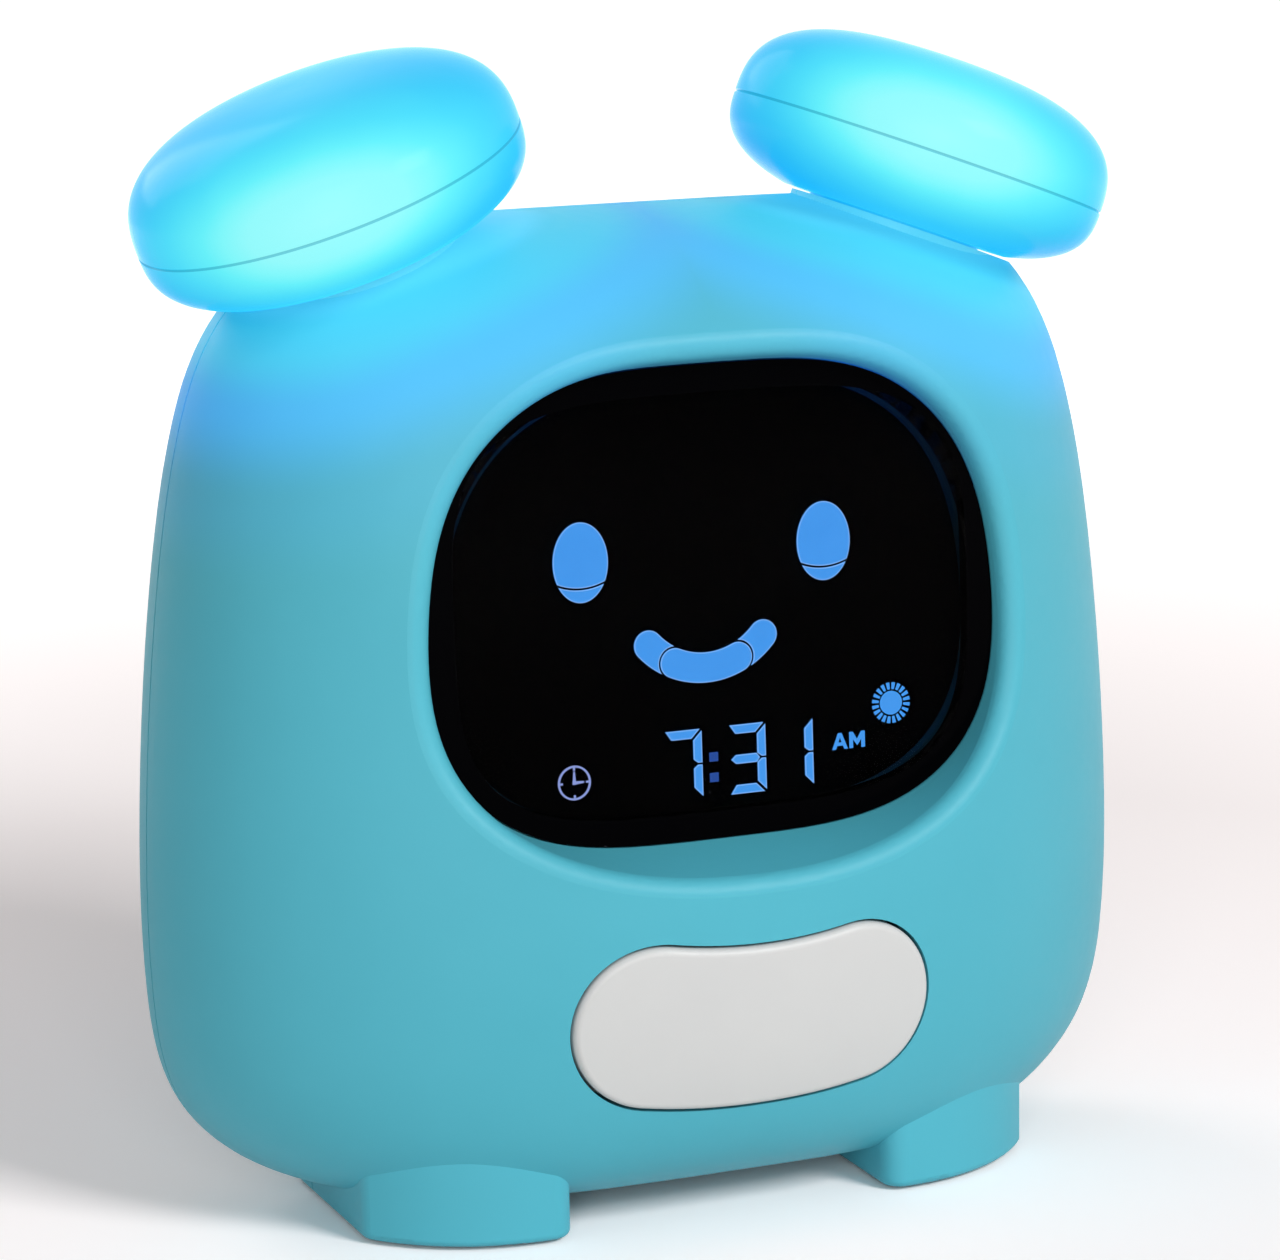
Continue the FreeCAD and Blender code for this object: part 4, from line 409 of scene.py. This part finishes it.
# %% Diffuser finish
GLOW_HALF_WIDTH = 26.8 * MM
GLOW_HALF_HEIGHT = 11.9 * MM
GLOW_SHIFT = 1.0 * MM
GLOW_RISE = 2.0 * MM
GLOW_TURN = radians(22)
DIFFUSER_STOPS = [
    (0.00, paint(156, 242, 236)),
    (0.34, paint(145, 240, 236)),
    (0.45, paint(125, 238, 236)),
    (0.54, paint(99, 231, 236)),
    (0.67, paint(74, 212, 236)),
    (0.80, paint(52, 192, 234)),
    (0.97, paint(22, 168, 231)),
]
DIFFUSER_BODY = (24, 84, 104)
MILK_SIZE = 9 * MM
MILK_SWING = 0.06
SEAM_HALF_WIDTH = 0.16 * MM
SEAM_SHADE = 0.5
SEAM_BLUE = (10, 120, 150)


def diffuser_finish(side):
    """Milky plastic lit from inside, for the left lamp at -1 or the right one at 1."""
    material, recipe = new_finish("glowing_diffuser_" + ("left" if side < 0 else "right"))
    across, back, up = recipe.axes(lamp_place(recipe, side))
    width = (across * cos(GLOW_TURN) - back * sin(GLOW_TURN) - GLOW_SHIFT) / GLOW_HALF_WIDTH
    height = (up - GLOW_RISE) / GLOW_HALF_HEIGHT
    off_middle = (width * width + height * height) ** 0.5
    milk = recipe.noise(MILK_SIZE, detail=2.0) * MILK_SWING - MILK_SWING / 2
    glow = recipe.ramp(off_middle + milk, DIFFUSER_STOPS)
    seam = (abs(up) < SEAM_HALF_WIDTH) * SEAM_SHADE
    ripple = recipe.bump(recipe.noise(6 * MM, detail=1.0), 0.02 * MM)
    gloss = 0.16 + 0.08 * recipe.noise(3 * MM)
    recipe.finish(recipe.shade(
        Base_Color=paint(*DIFFUSER_BODY), Roughness=gloss,
        Emission_Color=recipe.mix(seam, glow, paint(*SEAM_BLUE)), Emission_Strength=1.0,
        Specular_IOR_Level=0.03, Normal=ripple))
    return material


diffusers = {side: diffuser_finish(side) for side in (-1, 1)}
print("diffuser finishes:", len(diffusers))

# %% [markdown]
# ## Grey button and keys
# The snooze button, the keys and the slider are moulded in a warm light grey with a
# finer satin skin. Thumbs polish the middle of a button, so its gloss drifts slowly.

# %% Button finish
def satin_plastic(name, colour, deep, rough, grain_depth=0.003 * MM, drift_size=14 * MM):
    """Plain moulded plastic with a satin skin and a slow drift of colour."""
    material, recipe = new_finish(name)
    drift = recipe.noise(drift_size, detail=3.0)
    recipe.finish(recipe.shade(
        Base_Color=recipe.mix(drift, paint(*deep), paint(*colour)),
        Roughness=rough - GLOSS_DRIFT / 2 + GLOSS_DRIFT * recipe.noise(2 * MM, detail=4.0),
        Specular_IOR_Level=0.4, Normal=mould_grain(recipe, 0.25 * MM, grain_depth)))
    return material


button_plastic = satin_plastic("pale_grey_button", (201, 201, 200), (195, 195, 195), 0.42)
black_plastic = satin_plastic("black_frame_plastic", (22, 22, 24), (14, 14, 16), 0.5)
white_plastic = satin_plastic("white_moulding", (226, 226, 220), (215, 215, 208), 0.45)
foot_rubber = satin_plastic("dark_foot_rubber", (34, 36, 38), (24, 25, 27), 0.75, 0.02 * MM)
window_tape = satin_plastic("foam_tape", (18, 18, 18), (8, 8, 8), 0.9, 0.03 * MM)
print("for the hand:", button_plastic.name, "for the feet:", foot_rubber.name)

# %% [markdown]
# ## Smoked window
# The window is clear acrylic with a dark smoke tint, so the panel behind it shows only
# where it is lit. A coat on it takes away most of its reflection, and a black border is
# printed round its edge. Specks of dust and lint lie on it, as on any display. A real
# sheet of tinted glass lets the lit figures lie behind the surface, as they should.

# %% Window finish
SMOKE = (92, 92, 98)
COATED_IOR = 1.04
BORDER_BLACK = (2, 2, 3)
BORDER_WIDTH = 3.2 * MM
BORDER_CORNER = 3.73
DUST_GREY = (90, 88, 96)
DUST_SIZE = 6.5 * MM
DUST_RADIUS = 0.017
DUST_COVER = 0.35
window_low, window_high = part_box("display_window")


def window_finish():
    """Tinted glass with a printed border and a little dust."""
    material, recipe = new_finish("smoked_acrylic")
    x, _, z = recipe.axes(recipe.place())
    reach_x = window_high.x - BORDER_WIDTH
    reach_z = (window_high.z - window_low.z) / 2 - BORDER_WIDTH
    side = abs(x) / reach_x
    rise = abs(z - (window_high.z + window_low.z) / 2) / reach_z
    border = (side ** BORDER_CORNER + rise ** BORDER_CORNER) > 1
    clear = recipe.shade(
        Base_Color=paint(*SMOKE), Roughness=0.02 + 0.02 * recipe.noise(15 * MM), IOR=COATED_IOR,
        Transmission_Weight=1.0)
    mask = recipe.shade(Base_Color=paint(*BORDER_BLACK), Roughness=0.12, IOR=COATED_IOR)
    specks = recipe.node("ShaderNodeTexVoronoi", {
        "Vector": recipe.place(), "Scale": 1 / DUST_SIZE, "Randomness": 1.0}, output="Distance")
    lint = recipe.noise(0.8 * MM, detail=2.0)
    dusty = (specks < lint * DUST_RADIUS * 2) * DUST_COVER
    dust = recipe.node("ShaderNodeBsdfDiffuse", {"Color": paint(*DUST_GREY)})
    printed = recipe.node("ShaderNodeMixShader", (border, clear, mask))
    recipe.finish(recipe.node("ShaderNodeMixShader", (dusty, printed, dust)))
    return material


smoked_window = window_finish()


def dark_panel_finish():
    """The display's own black glass, with a faint blue cast."""
    material, recipe = new_finish("black_display_glass")
    haze = recipe.noise(12 * MM, detail=2.0)
    recipe.finish(recipe.shade(
        Base_Color=recipe.mix(haze, paint(3, 3, 7), paint(6, 6, 11)),
        Roughness=0.35 + 0.1 * haze, Specular_IOR_Level=0.2))
    return material


black_glass = dark_panel_finish()
print("window width in mm:", round((window_high.x - window_low.x) / MM, 1))

# %% [markdown]
# ## Lit figures
# The eyes, the mouth, the time and the small marks are windows in a black mask with a
# blue light behind them. They shine through the smoked window, which takes most of
# their light, so they are made several times brighter than they look. The colon and
# the small alarm mark are dimmer than the rest.

# %% Figure finishes
def lit_finish(name, colour, strength, drift=6):
    """A figure that shines evenly, with the slow drift of a light guide."""
    material, recipe = new_finish(name)
    deep = tuple(max(0, value - drift) for value in colour)
    cloud = recipe.noise(2.5 * MM, detail=2.0)
    recipe.finish(recipe.shade(
        Base_Color=paint(10, 20, 40), Roughness=0.6,
        Emission_Color=recipe.mix(cloud, paint(*deep), paint(*colour)), Emission_Strength=strength))
    return material


FIGURE_STRENGTH = 8.4
DIM_STRENGTH = FIGURE_STRENGTH * 0.8
figure_light = lit_finish("lit_blue", (76, 162, 236), FIGURE_STRENGTH)
rim_light = lit_finish("lit_rim", (132, 186, 242), FIGURE_STRENGTH)
colon_light = lit_finish("dim_blue", (52, 92, 170), DIM_STRENGTH)
mark_light = lit_finish("pale_lavender", (160, 178, 232), DIM_STRENGTH)
print("figures shine at", FIGURE_STRENGTH, "and dim ones at", round(DIM_STRENGTH, 2))

# %% [markdown]
# ## Metals
# Inside are plated steel springs and screws, an aluminium can on each capacitor and a
# speaker basket. Such metal is smooth, with faint streaks where it was drawn or cut.

# %% Metal finishes
def metal_finish(name, colour, rough, streak=(1, 1, 12)):
    """Bare or plated metal with fine streaks, square to the axis that is scaled up."""
    material, recipe = new_finish(name)
    stretched = recipe.node("ShaderNodeMapping", {"Vector": recipe.place(), "Scale": streak})
    lines = recipe.noise(0.6 * MM, detail=3.0, place=stretched)
    bright = tuple(min(255, value + 14) for value in colour)
    recipe.finish(recipe.shade(
        Base_Color=recipe.mix(lines, paint(*colour), paint(*bright)), Metallic=1.0,
        Roughness=rough + 0.14 * lines, Normal=recipe.bump(lines, 0.003 * MM)))
    return material


spring_steel = metal_finish("plated_spring_steel", (196, 197, 200), 0.2)
screw_steel = metal_finish("zinc_screw_steel", (150, 152, 156), 0.3, (12, 1, 1))
magnet_steel = metal_finish("dark_magnet_steel", (92, 93, 97), 0.35)
can_metal = metal_finish("capacitor_aluminium", (188, 190, 195), 0.25, (1, 12, 1))
print("metals:", spring_steel.name, screw_steel.name, magnet_steel.name, can_metal.name)

# %% [markdown]
# ## Boards, cells, wires and the speaker cone
# What lies inside shows only through the slots, but it has its finish too: a solder
# mask with copper tracks under it, printed cell wraps, wire sleeves and pressed paper.

# %% Inner finishes
def board_finish(name, mask, track):
    """A circuit board: tracks of copper under a coloured mask."""
    material, recipe = new_finish(name)
    cells = recipe.node("ShaderNodeTexBrick", {
        "Vector": recipe.node("ShaderNodeMapping", {"Vector": recipe.place(), "Rotation": (pi / 2, 0, 0)}),
        "Scale": 120.0, "Mortar Size": 0.06, "Mortar Smooth": 0.1,
        "Color1": (0, 0, 0, 1), "Color2": (0, 0, 0, 1), "Mortar": (1, 1, 1, 1)}, output="Fac")
    recipe.finish(recipe.shade(
        Base_Color=recipe.mix(cells, paint(*mask), paint(*track)),
        Roughness=0.3 + 0.1 * recipe.noise(1 * MM), Normal=recipe.bump(cells, 0.02 * MM)))
    return material


CELL_BAND_START = 14 * MM
WIRE_STRIPE = 3.2 * MM
RIBBON_STRIPE = 0.5 * MM


def striped(recipe, distance, width):
    """1 in every second stripe of the given width, and 0 between them."""
    return recipe.node("ShaderNodeMath", (distance / width, 1.0), operation="PINGPONG") > 0.5


def cell_finish():
    """A battery's wrap: dark with a copper coloured band at each end."""
    material, recipe = new_finish("cell_wrap")
    x, _, _ = recipe.axes(recipe.place())
    band = abs(x) > CELL_BAND_START
    scuff = recipe.noise(1.2 * MM, detail=4.0)
    colour = recipe.mix(band, paint(36, 44, 40), paint(168, 112, 66))
    recipe.finish(recipe.shade(Base_Color=colour, Metallic=0.3, Roughness=0.25 + 0.15 * scuff))
    return material


def wire_finish():
    """Red and black sleeves: the leads of a pair differ by which side they lie on."""
    material, recipe = new_finish("wire_sleeve")
    x, _, _ = recipe.axes(recipe.place())
    shine = recipe.noise(1.5 * MM, detail=2.0)
    pair = striped(recipe, abs(x), WIRE_STRIPE)
    recipe.finish(recipe.shade(
        Base_Color=recipe.mix(pair, paint(176, 40, 34), paint(28, 28, 30)), Roughness=0.4 + 0.2 * shine))
    return material


def ribbon_finish():
    """A flat cable: clear film over rows of copper."""
    material, recipe = new_finish("ribbon_film")
    x, _, _ = recipe.axes(recipe.place())
    rows = striped(recipe, abs(x), RIBBON_STRIPE)
    recipe.finish(recipe.shade(
        Base_Color=recipe.mix(rows, paint(206, 196, 170), paint(168, 120, 78)), Roughness=0.3))
    return material


def cone_finish():
    """Pressed paper fibres, black."""
    material, recipe = new_finish("speaker_paper")
    fibres = recipe.noise(0.5 * MM, detail=6.0, rough=0.8)
    recipe.finish(recipe.shade(
        Base_Color=recipe.mix(fibres, paint(20, 20, 21), paint(48, 47, 46)), Roughness=0.85,
        Normal=recipe.bump(fibres, 0.05 * MM)))
    return material


green_board = board_finish("green_circuit_board", (12, 78, 44), (30, 112, 62))
white_board = board_finish("white_lamp_board", (226, 228, 224), (206, 206, 190))
cell_wrap = cell_finish()
wire_sleeve = wire_finish()
ribbon_film = ribbon_finish()
speaker_paper = cone_finish()
lit_diode = lit_finish("lit_diode", (206, 246, 255), 3.0)
print("inner finishes:", cell_wrap.name, wire_sleeve.name, ribbon_film.name, speaker_paper.name)

# %% [markdown]
# ## Every piece of the frame gets its finish
# The construction's meshes are kept as they are. Only what fills their material slots
# changes, so nothing moves and the seams stay where they were cut.

# %% Hand out the finishes
FINISH_OF = {
    "front_shell rear_cover battery_door": teal_plastic_and_painted_glow,
    "left_lamp_top left_lamp_base": diffusers[-1],
    "right_lamp_top right_lamp_base": diffusers[1],
    "snooze_button key_time key_alarm key_up key_down key_lamp alarm_slider": button_plastic,
    "display_window": smoked_window,
    "window_tape": window_tape,
    "display_frame snooze_switch key_switches slide_switch board_chips usb_tongue": black_plastic,
    "display_panel": black_glass,
    "display_backlight board_plugs": white_plastic,
    "display_board snooze_board main_board usb_board": green_board,
    "left_lamp_board right_lamp_board": white_board,
    "left_lamp_leds right_lamp_leds": lit_diode,
    "eye_segments mouth_segments digit_segments morning_mark sun_mark": figure_light,
    "colon_segments": colon_light,
    "alarm_mark": mark_light,
    "foot_pads": foot_rubber,
    "snooze_springs contact_springs contact_plates usb_socket": spring_steel,
    "housing_screws board_screws display_screws snooze_screws battery_door_screw speaker_frame": screw_steel,
    "speaker_magnet": magnet_steel,
    "capacitors": can_metal,
    "battery_cells": cell_wrap,
    "speaker_cone": speaker_paper,
    "left_lamp_wires right_lamp_wires board_wires": wire_sleeve,
    "flat_cable": ribbon_film,
}


def dress(node, material):
    """Put a finish into every slot of a node."""
    piece = nodes[node]
    if not piece.material_slots:
        piece.data.materials.append(material)
    for slot in piece.material_slots:
        slot.material = material


dressed = set()
for names, material in FINISH_OF.items():
    for node in names.split():
        dress(node, material)
        dressed.add(node)
print("nodes left bare:", sorted(set(nodes) - dressed))

# %% [markdown]
# ## Rims of the lit figures
# Light spills a little over the edge of the black mask, so each eye, the mouth and
# every stroke of the time ends in a thin paler rim. It could be drawn by a material,
# but a real inset follows any outline: the lit face of a copy of the figure is inset
# by the rim's width, and the ring that this leaves gets the paler light. The frame's
# meshes are loose triangles, so the copy's doubles are merged first.

# %% Inset the rims
RIM_WIDTH = 0.12 * MM
MERGE_REACH = 0.002 * MM
FACES_FRONT = -0.8


def add_piece(name, shape, materials):
    """A new object from a bmesh, with its place in its mesh."""
    mesh = bpy.data.meshes.new(name)
    shape.to_mesh(mesh)
    shape.free()
    for material in materials:
        mesh.materials.append(material)
    piece = bpy.data.objects.new(name, mesh)
    bpy.context.scene.collection.objects.link(piece)
    return piece


def add_rims(node):
    """A copy of a lit figure whose front face has a rim of its own."""
    shape = bmesh.new()
    shape.from_mesh(nodes[node].data)
    bmesh.ops.remove_doubles(shape, verts=shape.verts, dist=MERGE_REACH)
    for face in shape.faces:
        face.material_index = 0
    front = [face for face in shape.faces if face.normal.y < FACES_FRONT]
    ring = bmesh.ops.inset_region(
        shape, faces=front, thickness=RIM_WIDTH, use_boundary=True, use_even_offset=True)
    for face in ring["faces"]:
        face.material_index = 1
    piece = add_piece(node + "_lit", shape, [figure_light, rim_light])
    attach(piece, "clock_body")
    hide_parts(node)
    return len(ring["faces"])


for node in ("eye_segments", "mouth_segments", "digit_segments"):
    print(node, "rim faces:", add_rims(node))

# %% [markdown]
# ## Signs on the rear keys
# Small signs tell the five keys apart: a dial, a bell, an arrow up, an arrow down and
# a lamp with rays. They are printed in grey ink, which stands a few hundredths of a
# millimetre off the key. A flat outline is drawn in millimetres as it reads from
# behind, closed into a face and given the ink's thickness.

# %% Printed signs
INK_THICK = 0.05 * MM
INK_SUNK = 0.03 * MM
grey_ink = satin_plastic("grey_ink", (86, 90, 94), (76, 80, 84), 0.5, 0.001 * MM, 3 * MM)


def disc_outline(radius, steps=32, rise=0.0):
    """A round face, raised or lowered from the key's middle."""
    angles = [tau * step / steps for step in range(steps)]
    return [(radius * cos(angle), radius * sin(angle) + rise) for angle in angles]


def ring_outlines(inner, outer):
    """Four-cornered faces that make a ring."""
    inside = disc_outline(inner)
    outside = disc_outline(outer)
    around = range(len(inside))
    return [[inside[a - 1], outside[a - 1], outside[a], inside[a]] for a in around]


def bell_outline():
    """A bell from its rim up over the crown and down again."""
    half = [(1.9, -1.3), (1.9, -1.0), (1.4, -0.5), (1.3, 0.5), (0.95, 1.3), (0.35, 1.65), (0.3, 2.0)]
    return half + [(-x, z) for x, z in reversed(half)]


def print_sign(key, outlines):
    """Ink on the middle of a key."""
    middle = middle_of(key)
    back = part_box(key)[1].y
    shape = bmesh.new()
    for outline in outlines:
        corners = [(middle.x - x * MM, back - INK_SUNK, middle.z + z * MM) for x, z in outline]
        shape.faces.new([shape.verts.new(corner) for corner in corners])
    bmesh.ops.remove_doubles(shape, verts=shape.verts, dist=MERGE_REACH)
    raised = bmesh.ops.extrude_face_region(shape, geom=shape.faces[:])["geom"]
    tops = [part for part in raised if isinstance(part, bmesh.types.BMVert)]
    bmesh.ops.translate(shape, verts=tops, vec=(0, INK_SUNK + INK_THICK, 0))
    bmesh.ops.recalc_face_normals(shape, faces=shape.faces)
    piece = add_piece(key + "_sign", shape, [grey_ink])
    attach(piece, key.replace("key_", "") + "_key")


long_hand = [(-0.17, -0.17), (0.17, -0.17), (0.17, 1.4), (-0.17, 1.4)]
short_hand = [(0.17, -0.17), (1.15, -0.17), (1.15, 0.17), (0.17, 0.17)]
signs = {
    "key_time": ring_outlines(1.75, 2.15) + [long_hand, short_hand],
    "key_alarm": [bell_outline(), disc_outline(0.45, 12, -1.85)],
    "key_up": [[(-1.9, -1.2), (1.9, -1.2), (0, 1.7)]],
    "key_down": [[(-1.9, 1.2), (0, -1.7), (1.9, 1.2)]],
    "key_lamp": [disc_outline(0.95)],
}
for key, outlines in signs.items():
    print_sign(key, outlines)
print("signs:", len(signs))

# %% [markdown]
# ## What repeats: the rays of the lamp sign
# The lamp sign has eight short rays. They are one small form set down many times, so
# Geometry Nodes make them: points in a ring, a bar on each point that turns away from
# the middle, then one real mesh and its finish.

# %% A tree that sets bars in a ring
def new_tree(name, sizes):
    """A Geometry Nodes tree with named inputs and one mesh as its output."""
    tree = bpy.data.node_groups.new(name, "GeometryNodeTree")
    tree.interface.new_socket("Mesh", in_out="OUTPUT", socket_type="NodeSocketGeometry")
    for label, kind in sizes.items():
        tree.interface.new_socket(label, in_out="INPUT", socket_type="NodeSocket" + kind)
    recipe = Recipe(tree)
    return tree, recipe, {label: recipe.node("NodeGroupInput", output=label) for label in sizes}


def ray_tree():
    """Short bars that point away from a middle."""
    tree, recipe, given = new_tree("ring_of_rays", {
        "Count": "Int", "Radius": "Float", "Bar": "Vector", "Place": "Vector", "Finish": "Material"})
    points = recipe.node("GeometryNodeMeshCircle", {"Vertices": given["Count"], "Radius": given["Radius"]})
    bar = recipe.node("GeometryNodeMeshCube", {"Size": given["Bar"]})
    outward = recipe.node(
        "FunctionNodeAlignRotationToVector", {"Vector": recipe.node("GeometryNodeInputPosition")}, axis="X")
    bars = recipe.node("GeometryNodeInstanceOnPoints", {
        "Points": points, "Instance": bar, "Rotation": outward})
    stood = recipe.node("GeometryNodeTransform", {
        "Geometry": bars, "Rotation": (pi / 2, 0, 0), "Translation": given["Place"]})
    real = recipe.node("GeometryNodeRealizeInstances", {"Geometry": stood})
    painted = recipe.node("GeometryNodeSetMaterial", {"Geometry": real, "Material": given["Finish"]})
    recipe.node("NodeGroupOutput", {"Mesh": painted})
    return tree


def grow(name, tree, values, body):
    """The plain mesh that a tree makes from its named inputs, riding on a body."""
    piece = bpy.data.objects.new(name, bpy.data.meshes.new(name))
    bpy.context.scene.collection.objects.link(piece)
    maker = piece.modifiers.new("grow", "NODES")
    maker.node_group = tree
    for item in tree.interface.items_tree:
        if item.in_out == "INPUT":
            maker[item.identifier] = values[item.name]
    shown = piece.evaluated_get(bpy.context.evaluated_depsgraph_get())
    mesh = bpy.data.meshes.new_from_object(shown)
    piece.modifiers.clear()
    piece.data = mesh
    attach(piece, body)
    return piece


RAY_COUNT = 8
RAY_RING = 1.85 * MM
RAY_BAR = Vector((0.85 * MM, 0.32 * MM, INK_SUNK + INK_THICK))
ray_place = middle_of("key_lamp")
ray_place.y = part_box("key_lamp")[1].y + (INK_THICK - INK_SUNK) / 2
ray_values = {
    "Count": RAY_COUNT, "Radius": RAY_RING, "Bar": RAY_BAR, "Place": ray_place, "Finish": grey_ink}
rays = grow("key_lamp_rays", ray_tree(), ray_values, "lamp_key")
print("ray faces:", len(rays.data.polygons))
